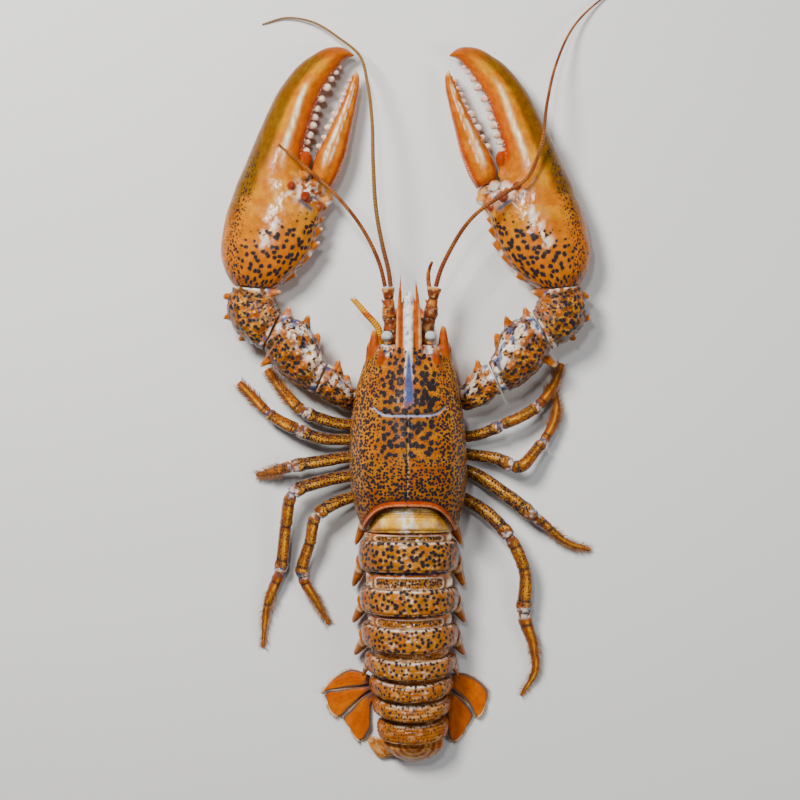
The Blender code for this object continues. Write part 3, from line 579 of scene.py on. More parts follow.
def shell_material(name, roughness, coat, spot_pitch, fine_pitch, mottle, relief, specular):
    """Glossy shell: painted colour, two sizes of dark spots, faint mottling and fine pits.

    The pitches are the spacing of the large and of the small spots, mottle is the strength of the
    mottling, and relief is the depth of the unevenness.
    """
    n = Nodes(name)
    flow = n.attribute("flow", "Vector")
    paint = n.attribute("paint", "Color")
    wobble = n.add("ShaderNodeTexNoise")
    n.link(flow, wobble.inputs["Vector"])
    wobble.inputs["Scale"].default_value = 0.8
    wobble.inputs["Detail"].default_value = 2.0
    shift = n.add("ShaderNodeVectorMath", operation="MULTIPLY_ADD")
    n.link(wobble.outputs["Color"], shift.inputs[0])
    shift.inputs[1].default_value = (SPOT_WOBBLE, SPOT_WOBBLE, SPOT_WOBBLE)
    n.link(flow, shift.inputs[2])
    bent = shift.outputs[0]

    mottled = n.map(n.noise(flow, 0.22, 5.0), 0.32, 0.70, 1.0 - mottle, 1.0 + mottle * 0.6)
    grain = n.map(n.noise(flow, 2.4, 3.0), 0.35, 0.68, 0.86, 1.10)
    level = n.maths("MULTIPLY", mottled, grain)
    scaled = n.add("ShaderNodeVectorMath", operation="SCALE")
    n.link(paint, scaled.inputs[0])
    n.link(level, scaled.inputs["Scale"])
    colour = scaled.outputs[0]

    uneven = n.map(n.noise(flow, 0.33, 2.0), 0.3, 0.7, 0.70, 1.18)
    # reach is the radius of a full spot as a share of the pitch, halo the strength of its soft edge.
    for pitch, mask_name, reach, randomness, halo in (
        (spot_pitch, "spots", 0.42, 0.92, 0.45),
        (fine_pitch, "fine", 0.46, 0.82, 0.10),
    ):
        mask = n.attribute(mask_name, "Fac")
        radius = n.maths("MULTIPLY", n.maths("MULTIPLY", mask, uneven), reach)
        inside = n.maths("SUBTRACT", radius, n.cells(bent, 1.0 / pitch, randomness))
        shade = n.maths("MULTIPLY", n.map(inside, -0.17, 0.0), n.map(mask, 0.02, 0.25), clamp=True)
        colour = n.blend(n.maths("MULTIPLY", shade, halo), colour, HALO_COLOUR)
        cover = n.map(inside, -0.01, 0.085)
        cover = n.maths("MULTIPLY", cover, n.map(mask, 0.02, 0.25), clamp=True)
        dark = n.blend(n.map(inside, 0.02, 0.3), NAVY * 1.9 + 0.004, NAVY)
        colour = n.blend(n.maths("MULTIPLY", cover, 0.94), colour, dark)
    n.link(colour, n.shader.inputs["Base Color"])

    gloss = n.map(n.noise(flow, 0.55, 4.0), 0.3, 0.75, roughness * 0.72, roughness * 1.35)
    n.link(gloss, n.shader.inputs["Roughness"])
    n.shader.inputs["Coat Weight"].default_value = coat
    n.shader.inputs["Coat Roughness"].default_value = COAT_ROUGHNESS
    n.shader.inputs["Specular IOR Level"].default_value = specular
    pits = n.map(n.cells(flow, 0.85), 0.05, 0.42)
    first = n.bump(pits, PIT_DEPTH)
    second = n.bump(n.noise(flow, 0.7, 4.0), relief, first)
    n.link(second, n.shader.inputs["Normal"])
    return n.material


def plain_material(
    name, roughness, coat=0.0, grain_scale=3.0, depth=0.08, subsurface=0.0, specular=0.5
):
    """A finish whose colour is all in the paint, with fine grain."""
    n = Nodes(name)
    flow = n.attribute("flow", "Vector")
    scaled = n.add("ShaderNodeVectorMath", operation="SCALE")
    n.link(n.attribute("paint", "Color"), scaled.inputs[0])
    n.link(n.map(n.noise(flow, grain_scale, 4.0), 0.3, 0.7, 0.84, 1.10), scaled.inputs["Scale"])
    n.link(scaled.outputs[0], n.shader.inputs["Base Color"])
    gloss = n.map(n.noise(flow, 0.7, 3.0), 0.3, 0.75, roughness * 0.75, roughness * 1.3)
    n.link(gloss, n.shader.inputs["Roughness"])
    n.shader.inputs["Coat Weight"].default_value = coat
    n.shader.inputs["Coat Roughness"].default_value = 0.1
    n.shader.inputs["Specular IOR Level"].default_value = specular
    n.shader.inputs["Subsurface Weight"].default_value = subsurface
    n.shader.inputs["Subsurface Scale"].default_value = 1.2 * MM
    n.link(n.bump(n.noise(flow, grain_scale, 4.0), depth), n.shader.inputs["Normal"])
    return n.material


SHELL = shell_material(
    "carapace_shell",
    roughness=0.34,
    coat=0.06,
    spot_pitch=3.3,
    fine_pitch=1.7,
    mottle=0.24,
    relief=0.06,
    specular=0.22,
)
TAIL = shell_material(
    "tail_shell",
    roughness=0.18,
    coat=0.1,
    spot_pitch=2.9,
    fine_pitch=1.7,
    mottle=0.30,
    relief=0.06,
    specular=0.35,
)
CLAW = shell_material(
    "claw_shell",
    roughness=0.15,
    coat=0.12,
    spot_pitch=3.7,
    fine_pitch=1.9,
    mottle=0.20,
    relief=0.05,
    specular=0.36,
)
ARM = shell_material(
    "arm_shell",
    roughness=0.17,
    coat=0.1,
    spot_pitch=3.0,
    fine_pitch=1.7,
    mottle=0.34,
    relief=0.12,
    specular=0.36,
)
LEG = shell_material(
    "leg_shell",
    roughness=0.20,
    coat=0.1,
    spot_pitch=1.8,
    fine_pitch=1.25,
    mottle=0.34,
    relief=0.10,
    specular=0.36,
)
FAN = plain_material("tail_fan", 0.32, grain_scale=1.6, depth=0.05, specular=0.2)
HORN = plain_material("feelers", 0.40, coat=0.15)
TEETH = plain_material("teeth", 0.16, coat=0.3, grain_scale=1.2, depth=0.06, subsurface=0.1)
EYE = plain_material("eyes", 0.12, coat=1.0, grain_scale=1.5, depth=0.02)
HAIR = plain_material("hairs", 0.6)
BELLY = plain_material("belly", 0.45, coat=0.1, grain_scale=1.0, depth=0.2, subsurface=0.1)


def paint_thorns(points, colours, thorns, body=DEEP_ORANGE, tip_colour=PALE, reach=1.0):
    """Reddens each thorn and pales its tip."""
    clear = np.ones(len(points))
    for base, tip, radius in thorns:
        axis = tip - base
        length = np.linalg.norm(axis)
        share = (points - base) @ axis / length**2
        away = np.linalg.norm(points - base - np.clip(share, 0, 1)[:, None] * axis, axis=1)
        near = ramp(away, radius * 1.5 * reach, radius * 0.9 * reach) * ramp(share, -0.12, 0.22)
        colours = mix(colours, body, near * 0.9)
        colours = mix(colours, tip_colour, near * ramp(share, 0.70, 0.95) * 0.85)
        clear *= 1 - near
    return colours, clear


# Carapace

REAR_Y = -39.4
REAR_SAG = 13.4
# y, middle x, half width, side z, top z, low z, how far the sides hang back
CARAPACE_ROWS = (
    (CARAPACE_FRONT, 0.0, 18.5, 25.0, 38.5, 15.0, 0.0),
    (38.0, 0.0, 22.4, 24.0, 40.5, 13.0, 0.0),
    (26.0, -0.4, 26.2, 23.0, 43.6, CARAPACE_LOW, 0.0),
    (12.0, -0.6, 28.8, SIDE_Z, 46.2, CARAPACE_LOW, 0.0),
    (0.0, -0.5, 30.4, SIDE_Z, CARAPACE_TOP, CARAPACE_LOW, 0.0),
    (-14.0, -0.3, 31.0, SIDE_Z, CARAPACE_TOP + 1.0, CARAPACE_LOW, 1.0),
    (-26.0, 0.0, 30.2, SIDE_Z, CARAPACE_TOP + 0.4, CARAPACE_LOW, 7.0),
    (-33.0, 0.2, 27.6, SIDE_Z, CARAPACE_TOP - 1.0, CARAPACE_LOW + 0.5, 11.5),
    (-36.7, 0.3, 25.4, SIDE_Z, CARAPACE_TOP - 2.0, CARAPACE_LOW + 1.5, 14.6),
    (REAR_Y, 0.3, 24.6, SIDE_Z, CARAPACE_TOP - 2.8, CARAPACE_LOW + 2.0, REAR_SAG),
)
CARAPACE_CORE_Z = 14.0  # the line that the pattern of spots runs round
CARAPACE_GIRTH = 31.0  # millimetres of skin for each radian round that line
GROOVE_HALF_LENGTH = 18.0
GROOVE_END_RISE = 4.0


def body_rings(rows, sides, top_power, low_power, scales=1.0):
    """Rings across the carapace, whose sides hang back and whose underside comes forward."""
    rows = np.asarray(rows, float)
    u, v = oval(sides, top_power, low_power)
    y, middle, half_width, side_z, top_z, low_z, sag = [column[:, None] for column in rows.T]
    scales = np.broadcast_to(np.asarray(scales, float), (len(rows),))[:, None]
    rise = np.where(v > 0, (top_z - side_z) * v, (side_z - low_z) * v) * scales
    back = sag * u**4 * np.clip(1 - 2.4 * np.clip(-v, 0, None), 0, None)
    return np.stack([middle + half_width * u * scales, y - back, side_z + rise], axis=-1)


def groove_y(x):
    """Where the groove across the back runs, with ends that turn forward."""
    share = np.clip(np.abs(x) / GROOVE_HALF_LENGTH, 0, 1)
    return CERVICAL_GROOVE_Y + GROOVE_END_RISE * share**6


def head_thorns():
    """Base, tip and radius of the three thorns at each side of the head."""
    thorns = []
    for side, reach in ((-1, 0.0), (1, 2.4)):
        thorns.append(((side * 18.6, 38.0, 29.5), (side * 18.0, 53.0 + reach, 31.0), 3.2))
        thorns.append(((side * 20.6, 35.0, 27.5), (side * 21.0, 46.5, 28.5), 2.3))
        thorns.append(((side * 14.8, 34.0, 36.6), (side * 14.2, 43.5, 40.2), 2.1))
    return [(np.array(base), np.array(tip), radius) for base, tip, radius in thorns]


# x, y, z and radius along the ridge, the beak and the blade at each side of the beak
RIDGE = (
    (0.0, 34.0, 40.0, 2.6),
    (0.1, 50.0, 40.0, 2.8),
    (0.1, 62.0, 40.4, 2.2),
    (0.2, 71.0, 41.0, 0.5),
)
BEAK = (
    (0.0, 34.0, 38.4, 6.4),
    (0.0, 48.0, 38.6, 5.4),
    (0.1, 60.0, 39.4, 4.6),
    (0.1, 69.0, 40.4, 3.2),
    (0.1, 73.0, 40.8, 1.2),
)
BLADE_FOOT = ((6.2, 32.0, 38.4, 2.0), (5.4, 48.0, 39.6, 1.9), (4.9, 62.0, 41.0, 1.7))
BLADE_TIPS = ((-1, (-4.2, 82.2, 43.0, 0.35)), (1, (3.4, 80.0, 43.0, 0.35)))
BEAK_MIDDLE_Z = 38.9
BEAK_FLATNESS = 0.24
GROOVE_BLUE = tint(0.300, 0.470, 0.720)
SEAM_GOLD = tint(0.700, 0.400, 0.150)
REAR_RED = tint(0.560, 0.062, 0.002)
UNDER_SHELL = tint(0.884, 0.355, 0.035)
HEAD_THORN_RED = tint(0.420, 0.058, 0.001)
HEAD_THORN_TIP = tint(0.620, 0.220, 0.020)


def carapace_shapes(thorns):
    """The overlapping shapes of the carapace: body, ridge, beak, blades and thorns."""
    main = smooth_rows([(row[0], 0.0, *row) for row in CARAPACE_ROWS], eased(120, 0.3))[:, 2:]
    rim = main[-1]
    lip = np.tile(rim, (5, 1))
    lip[:, 0] += (0.0, -0.6, -0.7, 0.0, 3.0)
    wall = np.array([POCKET_WALL_Y, *rim[1:6], 0.0])
    rows = np.vstack([main, lip, wall])
    scales = np.concatenate([np.ones(len(main)), (1.0, 0.985, 0.955, 0.93, 0.92), (0.90,)])
    scales[len(main) - 8 : len(main)] = (0.997, 0.991, 0.982, 0.98, 0.992, 1.003, 1.01, 1.008)
    shapes = [skin_of(body_rings(rows, CARAPACE_SIDES, 2.1, 2.4, scales))]
    shapes.append(skin_of(limb(RIDGE, even(40), 20)))
    beak = limb(BEAK, even(60), 40)
    beak[..., 2] = BEAK_MIDDLE_Z + (beak[..., 2] - BEAK_MIDDLE_Z) * BEAK_FLATNESS
    shapes.append(skin_of(beak))
    for side, tip in BLADE_TIPS:
        foot = [(side * x, y, z, radius) for x, y, z, radius in BLADE_FOOT]
        shapes.append(skin_of(limb((*foot, tip), even(60), 18, flat=0.8)))
    return shapes + [spine_shape(*thorn, blunt=0.42) for thorn in thorns]


def carapace():
    thorns = head_thorns()
    mesh = remeshed(carapace_shapes(thorns), CARAPACE_VOXEL)

    # Relief: the groove across the back, the seam behind it and a slight unevenness.
    points = points_of(mesh)
    x, y, z = points.T
    top = ramp(z, SIDE_Z + 3, SIDE_Z + 9)
    fade = 1 - ramp(np.abs(x), GROOVE_HALF_LENGTH, GROOVE_HALF_LENGTH + 3)
    groove = hump(y, groove_y(x), 0.85) * fade * top
    lip_ahead = hump(y, groove_y(x) + 1.9, 1.3) * fade * top
    behind = 1 - ramp(y, CERVICAL_GROOVE_Y - 1.5, CERVICAL_GROOVE_Y)
    line = hump(x, -0.2, 0.75) * behind * top
    welt = (hump(x, -1.9, 0.8) + hump(x, 1.5, 0.8)) * behind * top
    shell_only = 1 - ramp(y, 40, 46)
    amount = -1.15 * groove + 0.30 * lip_ahead - 0.75 * line + 0.16 * welt
    amount += (rough(points, 7.0, 3) - 0.5) * 0.55 * shell_only
    amount += (noise(points, 1.5, 8) - 0.5) * 0.16 * shell_only
    points = pushed(mesh, amount)

    # Colours of the back.
    x, y, z = points.T
    wide = np.abs(x + 0.3)
    patches = rough(points, 9.0, 5)
    colours = dappled(points, ORANGE, GOLD, 6.0, 11, 0.35, 0.65)
    colours = mix(colours, YELLOW, ramp(wide, 17, 26) * 0.35)
    colours = mix(colours, BROWN, (1 - ramp(y, -34, 2)) * 0.35)
    colours = mix(colours, BROWN, hump(y, 8, 9) * (1 - ramp(wide, 10, 20)) * 0.45)
    middle = ramp(y, -18, 4) * (1 - ramp(y, 24, 36)) * (1 - ramp(wide, 11, 20))
    merging = ramp(patches, 0.40, 0.66) * middle
    merging = np.maximum(merging, hump(y, 10, 6.0) * (1 - ramp(wide, 6, 16)) * 0.8)
    merging = np.maximum(merging, hump(x, -0.4, 3.2) * ramp(y, -26, 4) * (1 - ramp(y, 26, 36)))

    # The blue wedge behind the beak, the groove and the seam.
    band = (1 - ramp(np.abs(x), 0.5 + 0.05 * (44 - y), 1.2 + 0.07 * (44 - y))) * ramp(y, 9, 17)
    band = band * (1 - ramp(y, 43, 49))
    colours = mix(colours, BLUE, band * 0.9)
    edge = hump(np.abs(x), 1.0 + 0.07 * (44 - y), 0.5) * ramp(y, 24, 34) * (1 - ramp(y, 48, 54))
    colours = mix(colours, WHITE, edge * 0.8)
    # Painted shade: a dark line on the front wall of the groove.
    colours = mix(colours, NAVY, hump(y, groove_y(x) + 1.1, 0.7) * fade * top * 0.75)
    colours = mix(colours, GROOVE_BLUE, hump(y, groove_y(x), 0.55) * fade * top * 0.92)
    colours = mix(colours, NAVY, hump(np.abs(x + 0.2), 0.95, 0.35) * behind * top * 0.7)
    colours = mix(colours, SEAM_GOLD, hump(x, -0.2, 0.36) * behind * top * 0.85)

    # The beak with its blades, and the eye sockets.
    blade = ramp(y, 40, 47) * ramp(z, 33, 36)
    colours = mix(colours, DEEP_ORANGE, blade * 0.8)
    # Painted highlight: a pale line along the top edge of each blade.
    colours = mix(colours, PALE, blade * ramp(wide, 5.0, 5.8) * ramp(z, 39.0, 40.6) * 0.6)
    beak_end = ramp(y, 36, 46) * (1 - ramp(wide, 1.9, 3.0)) * ramp(z, 36, 39)
    speckled = in_flecks(points, 1.3, 27, 0.62, 0.74) * ramp(y, 42, 50)
    colours = mix(colours, WHITE, beak_end * 0.9)
    colours = mix(colours, BLUE, beak_end * speckled * 0.7)
    socket = hump(wide, 12.0, 3.6) * ramp(y, 37.0, 40.5) * ramp(z, 24, 29)
    colours = mix(colours, WHITE, socket * in_patches(points, 1.6, 21, 0.40, 0.54) * 0.95)
    colours = mix(colours, BLUE * 0.6, socket * in_flecks(points, 1.3, 23, 0.56, 0.7))

    # The rear rim, the underside and the thorns.
    rear_y = REAR_Y - REAR_SAG * np.clip(wide / 24.8, 0, 1) ** 4
    to_rear = y - rear_y
    colours = mix(colours, NAVY, hump(to_rear, 3.1, 0.7) * ramp(z, 17, 21) * 0.85)
    rim_share = ramp(to_rear, 2.9, 2.2) * ramp(z, 15, 20)
    colours = mix(colours, REAR_RED, rim_share)
    colours = mix(colours, PALE, hump(to_rear, 0.35, 0.3) * ramp(z, 20, 26) * 0.75)
    # Painted shade inside the rim, where it overhangs the first tail ring.
    colours = mix(colours, BROWN_RED * 0.6, ramp(to_rear, 0.0, -0.6) * ramp(z, 15, 20) * 0.95)
    under = 1 - ramp(z, 14, 20)
    colours = mix(colours, UNDER_SHELL, under * 0.8)
    colours, clear = paint_thorns(points, colours, thorns, HEAD_THORN_RED, HEAD_THORN_TIP)

    # Spots: large and merging in the middle, small at the sides and the rear.
    clear = clear * (1 - blade) * (1 - rim_share) * (1 - under) * (1 - np.clip(groove, 0, 1))
    clear = clear * (1 - np.clip(band, 0, 1)) * (1 - np.clip(socket, 0, 1) * 0.8)
    clear = clear * (1 - np.clip(beak_end, 0, 1))
    wander = 9 * (rough(points, 7.0, 33) - 0.5)
    side = np.maximum(ramp(wide + wander, 13.5, 19.0), 1 - ramp(y + wander, -26, -10))
    front_side = ramp(y, 14, 30) * ramp(wide, 14, 20)
    spots = (1 - side) * clear * (0.96 + 0.25 * patches + 0.42 * merging)
    fine = (0.45 + 0.66 * side - 0.2 * front_side) * clear
    angle = np.arctan2(x + 0.3, z - CARAPACE_CORE_Z)
    flow = np.stack([angle * CARAPACE_GIRTH, y, np.zeros(len(x))], axis=-1)
    coloured(mesh, colours, spots, fine, flow)
    piece("carapace_skin", mesh, SHELL, "shell", "carapace")


# Tail

# name, front y, y of the step, rear y, middle x, half width, top z, low z, tilt at front and rear
TAIL_SEGMENTS = (
    ("tail_segment_2", -53.8, -58.8, -74.7, 0.0, TAIL_HALF_WIDTH, 38.0, TAIL_LOW, 0.0, -0.02),
    ("tail_segment_3", -74.7, -84.3, -97.8, 0.3, 26.6, 36.8, TAIL_LOW, -0.02, -0.07),
    ("tail_segment_4", -97.8, -104.9, -117.7, 0.6, 26.0, 35.2, TAIL_LOW, -0.07, -0.13),
    ("tail_segment_5", -117.7, -122.4, -132.0, 1.0, 24.4, 33.0, 3.4, -0.13, -0.18),
    ("tail_segment_6", -132.0, -135.0, -143.6, 1.4, 22.4, 30.0, 5.4, -0.18, -0.22),
    ("tail_segment_7", -143.6, -146.2, -154.6, 1.7, 21.0, 26.4, 5.4, -0.22, -0.28),
    ("tail_segment_8", -154.6, -157.2, -167.0, 2.2, 19.0, 21.6, 5.4, -0.28, -0.34),
)
FACET_INSET = 3.6
FACET_DROP = 2.8
# root outwards, root ahead, tip outwards, tip back, radius
PLEURA_TIPS = {
    "tail_segment_1": (0.4, 2.6, 5.0, 8.0, 4.2),
    "tail_segment_2": (-1.4, 0.6, 2.9, 9.6, 4.6),
    "tail_segment_3": (-1.4, 2.2, 3.6, 6.4, 4.6),
    "tail_segment_4": (-1.4, 3.2, 3.5, 4.4, 4.6),
    "tail_segment_5": (-1.2, 4.5, 1.2, 1.4, 2.6),
}
FACET_WIDTH = 0.68  # share of the half width that the smooth facet takes
TAIL_BOW = 1.8  # how far the sides of the last tail rings come forward
TAIL_CORE_Z = 8.0
TAIL_GIRTH = 28.0
FLAP_FLOW = 9.0  # keeps the flaps' pattern apart from the ring's
WRINKLE_PITCH = 3.4
LATE_BROWN = tint(0.340, 0.095, 0.012)
WINDOW_BROWN = tint(0.260, 0.095, 0.010)
FACET_ORANGE = tint(0.620, 0.130, 0.004)
FACET_SHADE = tint(0.010, 0.022, 0.070)
CORNER_ORANGE = tint(0.600, 0.240, 0.050)
UNDER_TAIL = tint(0.700, 0.340, 0.080)
FIRST_GOLD = tint(0.800, 0.350, 0.008)
FIRST_CREAM = tint(0.900, 0.540, 0.070)
FIRST_UNDER = tint(0.884, 0.450, 0.062)


def tail_rings(rows, top_power=2.2, low_power=3.4):
    """Flat tilted rings from (y, middle x, half width, side z, top z, low z, tilt)."""
    rows = np.asarray(rows, float)
    u, v = oval(TAIL_SIDES, top_power, low_power)
    y, middle, half_width, side_z, top_z, low_z, tilt = [column[:, None] for column in rows.T]
    z = side_z + np.where(v > 0, (top_z - side_z) * v, (side_z - low_z) * v)
    return np.stack([middle + half_width * u, y - tilt * (top_z - z), z], axis=-1)


def pleura(name, middle, half_width, rear_y, low_z):
    """The pointed flap at each side of a tail ring, as base, tip and radius."""
    root, ahead, out, back, radius = PLEURA_TIPS[name]
    flaps = []
    for side in (-1, 1):
        base = np.array((middle + side * (half_width + root), rear_y + ahead, low_z + 8.6))
        tip = np.array((middle + side * (half_width + out), rear_y - back, low_z + 4.6))
        flaps.append((base, tip, radius))
    return flaps


def add_flaps(shape, flaps):
    """The shape with its flaps and the small lobes ahead of them, and which points are theirs."""
    parts = [shape]
    for base, tip, radius in flaps:
        parts.append(spine_shape(base, tip, radius, 24, 0.62, 0.25, 0.5))
        outward = np.sign(base[0] - tip[0])
        lobe = ball((0, 0, 0), radius * 0.46, 10, 16)
        place = base + np.array((-outward * radius * 0.22, radius * 0.95, 0.4))
        parts.append((lobe[0] * (0.8, 1.5, 1.0) + place, lobe[1]))
    whole = joined(parts)
    is_flap = np.zeros(len(whole[0]))
    is_flap[len(shape[0]) :] = 1
    return whole, is_flap


def finish_tail(name, shape, flaps, paint, relief=None):
    """Adds the flaps to a tail ring, gives it relief and colours, and hands it over."""
    whole, is_flap = add_flaps(shape, flaps)
    mesh = mesh_from(whole)
    points = points_of(mesh)
    amount = (rough(points, 5.0, 17) - 0.5) * 0.5 + (noise(points, 1.3, 19) - 0.5) * 0.10
    if relief is not None:
        amount += relief(points) * (1 - is_flap)
    points = pushed(mesh, amount * (1 - is_flap * 0.5))
    colours, spots, fine = paint(points)
    flap_colour = mix(GOLD, ORANGE, rough(points, 2.5, 29))
    for base, tip, radius in flaps:
        axis = tip - base
        share = (points - base) @ axis / (axis**2).sum()
        aside = np.linalg.norm(np.cross(points - base, axis), axis=1) / np.linalg.norm(axis)
        near = (aside < radius * 1.6) * is_flap
        edge = ramp(aside, radius * 0.35, radius * 0.8)
        flap_colour = mix(flap_colour, DEEP_ORANGE, near * edge * 0.35)
        flap_colour = mix(flap_colour, PALE, near * ramp(share, 0.80, 1.0) * 0.8)
        flap_colour = mix(flap_colour, PALE, near * hump(share, -0.02, 0.09) * 0.8)
        flap_colour = mix(flap_colour, NAVY * 2, near * hump(share, 0.14, 0.07) * 0.6)
    colours = mix(colours, flap_colour, is_flap)
    sides_ahead = np.clip(np.abs(points[:, 0]) / 22, 0, 1) ** 2 * ramp(-points[:, 1], 70, 140)
    moved(mesh, points + sides_ahead[:, None] * (0, TAIL_BOW, 0))
    angle = np.arctan2(points[:, 0], points[:, 2] - TAIL_CORE_Z)
    flow = np.stack([angle * TAIL_GIRTH, points[:, 1], is_flap * FLAP_FLOW], axis=-1)
    coloured(mesh, colours, spots * (1 - is_flap), fine * (1 - is_flap), flow)
    piece(name + "_skin", mesh, TAIL, "shell", name, sharp=50)


def band_rows(front, step, rear, middle, half_width, top, low, front_tilt, rear_tilt):
    """Stations of a tail ring: sunk facet, rolled step, barrel-shaped band and rear edge."""
    band = step - rear
    facet = front - step
    stations = [
        (front - GAP, FACET_INSET + 0.4, FACET_DROP + 0.5),
        (front - 0.8, FACET_INSET + 0.1, FACET_DROP + 0.1),
    ]
    for share in np.linspace(0.14, 0.88, 18):
        stations.append((front - facet * share, FACET_INSET, FACET_DROP))
    stations += [
        (step + 0.45, FACET_INSET - 0.1, FACET_DROP),
        (step + 0.25, FACET_INSET - 0.3, FACET_DROP - 0.7),
        (step + 0.08, 3.0, 1.5),
        (step, 2.5, 0.9),
        (step - 0.35, 2.0, 0.4),
        (step - 0.75, 1.6, 0.2),
    ]
    for share in np.linspace(0.09, 0.88, 18):
        bulge = 1.9 * max(0.0, 1 - share / 0.42) ** 2 + 1.0 * max(0.0, share / 0.5 - 1) ** 2
        stations.append((step - share * band, bulge, -0.45 * math.sin(math.pi * share)))
    stations += [
        (rear + 1.15, 0.75, 0.12),
        (rear + 0.95, 1.0, 0.40),
        (rear + 0.7, 0.85, 0.15),
        (rear + 0.3, 1.1, 0.4),
        (rear, 1.7, 0.9),
    ]
    rows = []
    for y, narrower, lower in stations:
        tilt = front_tilt + (rear_tilt - front_tilt) * (front - y) / (front - rear)
        shift = tilt * (lower - stations[-1][2])
        side_z = min(TAIL_SIDE_Z, (top + low) / 2)
        rows.append((y - shift, middle, half_width - narrower, side_z, top - lower, low, tilt))
    return rows


def wrinkled(points, level_y):
    """Waves along the tail, from -1 to 1."""
    return np.sin(level_y * WRINKLE_PITCH + noise(points, 6.0, 3) * 5)


def tail_segment(name, front, step, rear, middle, half_width, top, low, front_tilt, rear_tilt):
    """A ring of the tail. Its sunk front has a smooth window with a pale line round it."""
    number = int(name[-1])
    rows = band_rows(front, step, rear, middle, half_width, top, low, front_tilt, rear_tilt)
    flaps = pleura(name, middle, half_width, rear, low) if name in PLEURA_TIPS else []
    late = (number - 2) / 6
    has_ring = 1.0 if number <= 4 else 0.0

    def places(points):
        """How far aside, the y that the tilt is taken out of, and millimetres outside the window."""
        x, y, z = points.T
        aside = np.abs(x - middle) / (half_width * FACET_WIDTH)
        level_y = y + np.interp(y, (rear, front), (rear_tilt, front_tilt)) * (top - z)
        along = (level_y - step) / (front - step)
        beside = (aside - 1) * half_width * FACET_WIDTH + 2.4
        beyond = (np.abs(along - 0.36) - 0.32) * (front - step) + 2.4
        outside = np.hypot(np.clip(beside, 0, None), np.clip(beyond, 0, None)) - 2.4
        return aside, level_y, along, outside

    def relief(points):
        aside, level_y, along, outside = places(points)
        facet = ramp(along, 0.02, 0.08)
        high = ramp(points[:, 2], 15, 22)
        lumps = facet * ramp(aside, 1.06, 1.14) * (1 - ramp(aside, 1.38, 1.5)) * high
        lift = 0.35 * hump(outside, 0.0, 0.45) * has_ring * facet
        lift -= 0.35 * (1 - ramp(outside, -1.0, -0.2)) * facet
        lift += lumps * (2.4 * in_patches(points, 3.4, number, 0.35, 0.6) - 0.4)
        return lift * high + wrinkled(points, level_y) * late * (1 - facet) * 0.14

    def paint(points):
        x, _, z = points.T
        aside, level_y, along, outside = places(points)
        colours = dappled(points, ORANGE, GOLD, 5.0, number, 0.36, 0.56)
        sunlit = hump(x, 0.0, 15.0) * in_flecks(points, 3.2, number + 60, 0.30, 0.60) * (1 - late)
        colours = mix(colours, YELLOW, sunlit * 0.6)
        colours = mix(colours, LATE_BROWN, late * 0.6)
        olive = in_patches(points, 2.6, number + 50, 0.50, 0.64) * (1 - late)
        colours = mix(colours, OLIVE * 1.4, olive * 0.5)
        colours = mix(colours, DEEP_ORANGE, ramp(aside, 0.95, 1.45) * 0.5)
        facet = ramp(along, 0.02, 0.07)
        window = facet * (1 - ramp(outside, -0.3, 0.1))
        colours = mix(colours, WINDOW_BROWN, window * (1 - late) * 0.7)
        ahead = facet * (1 - window) * ramp(along, 0.5, 0.6)
        colours = mix(colours, FACET_ORANGE, ahead * 0.9)
        colours = mix(colours, FACET_SHADE, ramp(along, 0.80, 0.86) * facet * 0.9)
        line = hump(outside, 0.0, 0.26) * has_ring * facet
        line = line * (0.45 + 0.55 * in_flecks(points, 3.0, 97, 0.3, 0.5))
        shadow = hump(outside, 0.9, 0.35) * has_ring * facet * (1 - ramp(along, 0.55, 0.65))
        colours = mix(colours, NAVY, shadow * 0.7)
        corner = facet * ramp(aside, 1.06, 1.13) * (1 - ramp(aside, 1.40, 1.5))
        lumps = in_patches(points, 3.4, number, 0.35, 0.55)
        colours = mix(colours, CORNER_ORANGE, corner * 0.9)
        colours = mix(colours, WHITE, corner * lumps * ramp(z, 16, 26) * 0.6)
        blue = corner * in_flecks(points, 2.4, 91 + number, 0.62, 0.72)
        colours = mix(colours, BLUE * 0.5, blue * 0.9)
        colours = mix(colours, WHITE, line * 0.9)
        window_fine = window * (1 - ramp(outside, -1.0, -0.4))
        colours = mix(colours, NAVY, hump(level_y, step + 0.35, 0.35) * 0.7)
        # Painted highlight: a broken white line along the top of the step, strongest in the middle.
        crest = hump(level_y, step - 0.55, 0.45) * ramp(z, 16, 24)
        broken = in_flecks(points * (0.6, 1, 1), 2.2, 93, 0.25, 0.5)
        colours = mix(colours, WHITE, crest * broken * (0.45 + 0.5 * hump(x, 0.0, 11.0)))
        # Painted glints: small white flecks over the top of the band.
        flecks = in_flecks(points, 1.1, number + 99, 0.70, 0.80) * hump(x, 0.0, 13.0) * ramp(z, 24, 30)
        colours = mix(colours, WHITE, flecks * 0.6)
        streaks = in_flecks(points * (0.22, 1.0, 0.3), 1.1, 95 + number, 0.60, 0.78) * ramp(z, 12, 18)
        colours = mix(colours, PALE, streaks * (0.10 + 0.30 * late))
        lines = hump(wrinkled(points, level_y), -1.0, 0.3)
        colours = mix(colours, BROWN, lines * late * (1 - facet) * 0.55)
        # Painted shade: a dark line in the groove ahead of the rear edge.
        colours = mix(colours, BROWN * 0.6, hump(level_y, rear + 0.95, 0.35) * 0.8)
        colours = mix(colours, PALE, hump(level_y, rear + 0.4, 0.25) * broken * 0.5)
        under = 1 - ramp(z, low + 0.5, low + 3.0)
        colours = mix(colours, UNDER_TAIL, under * 0.7)
        strength = (1 - 0.45 * late) * (1 - under) * (1 - corner)
        spots = strength * (1 - facet) * (0.86 + 0.3 * rough(points, 4.0, 31))
        fine = strength * window_fine
        return colours, spots, fine

    finish_tail(name, skin_of(tail_rings(rows)), flaps, paint, relief)


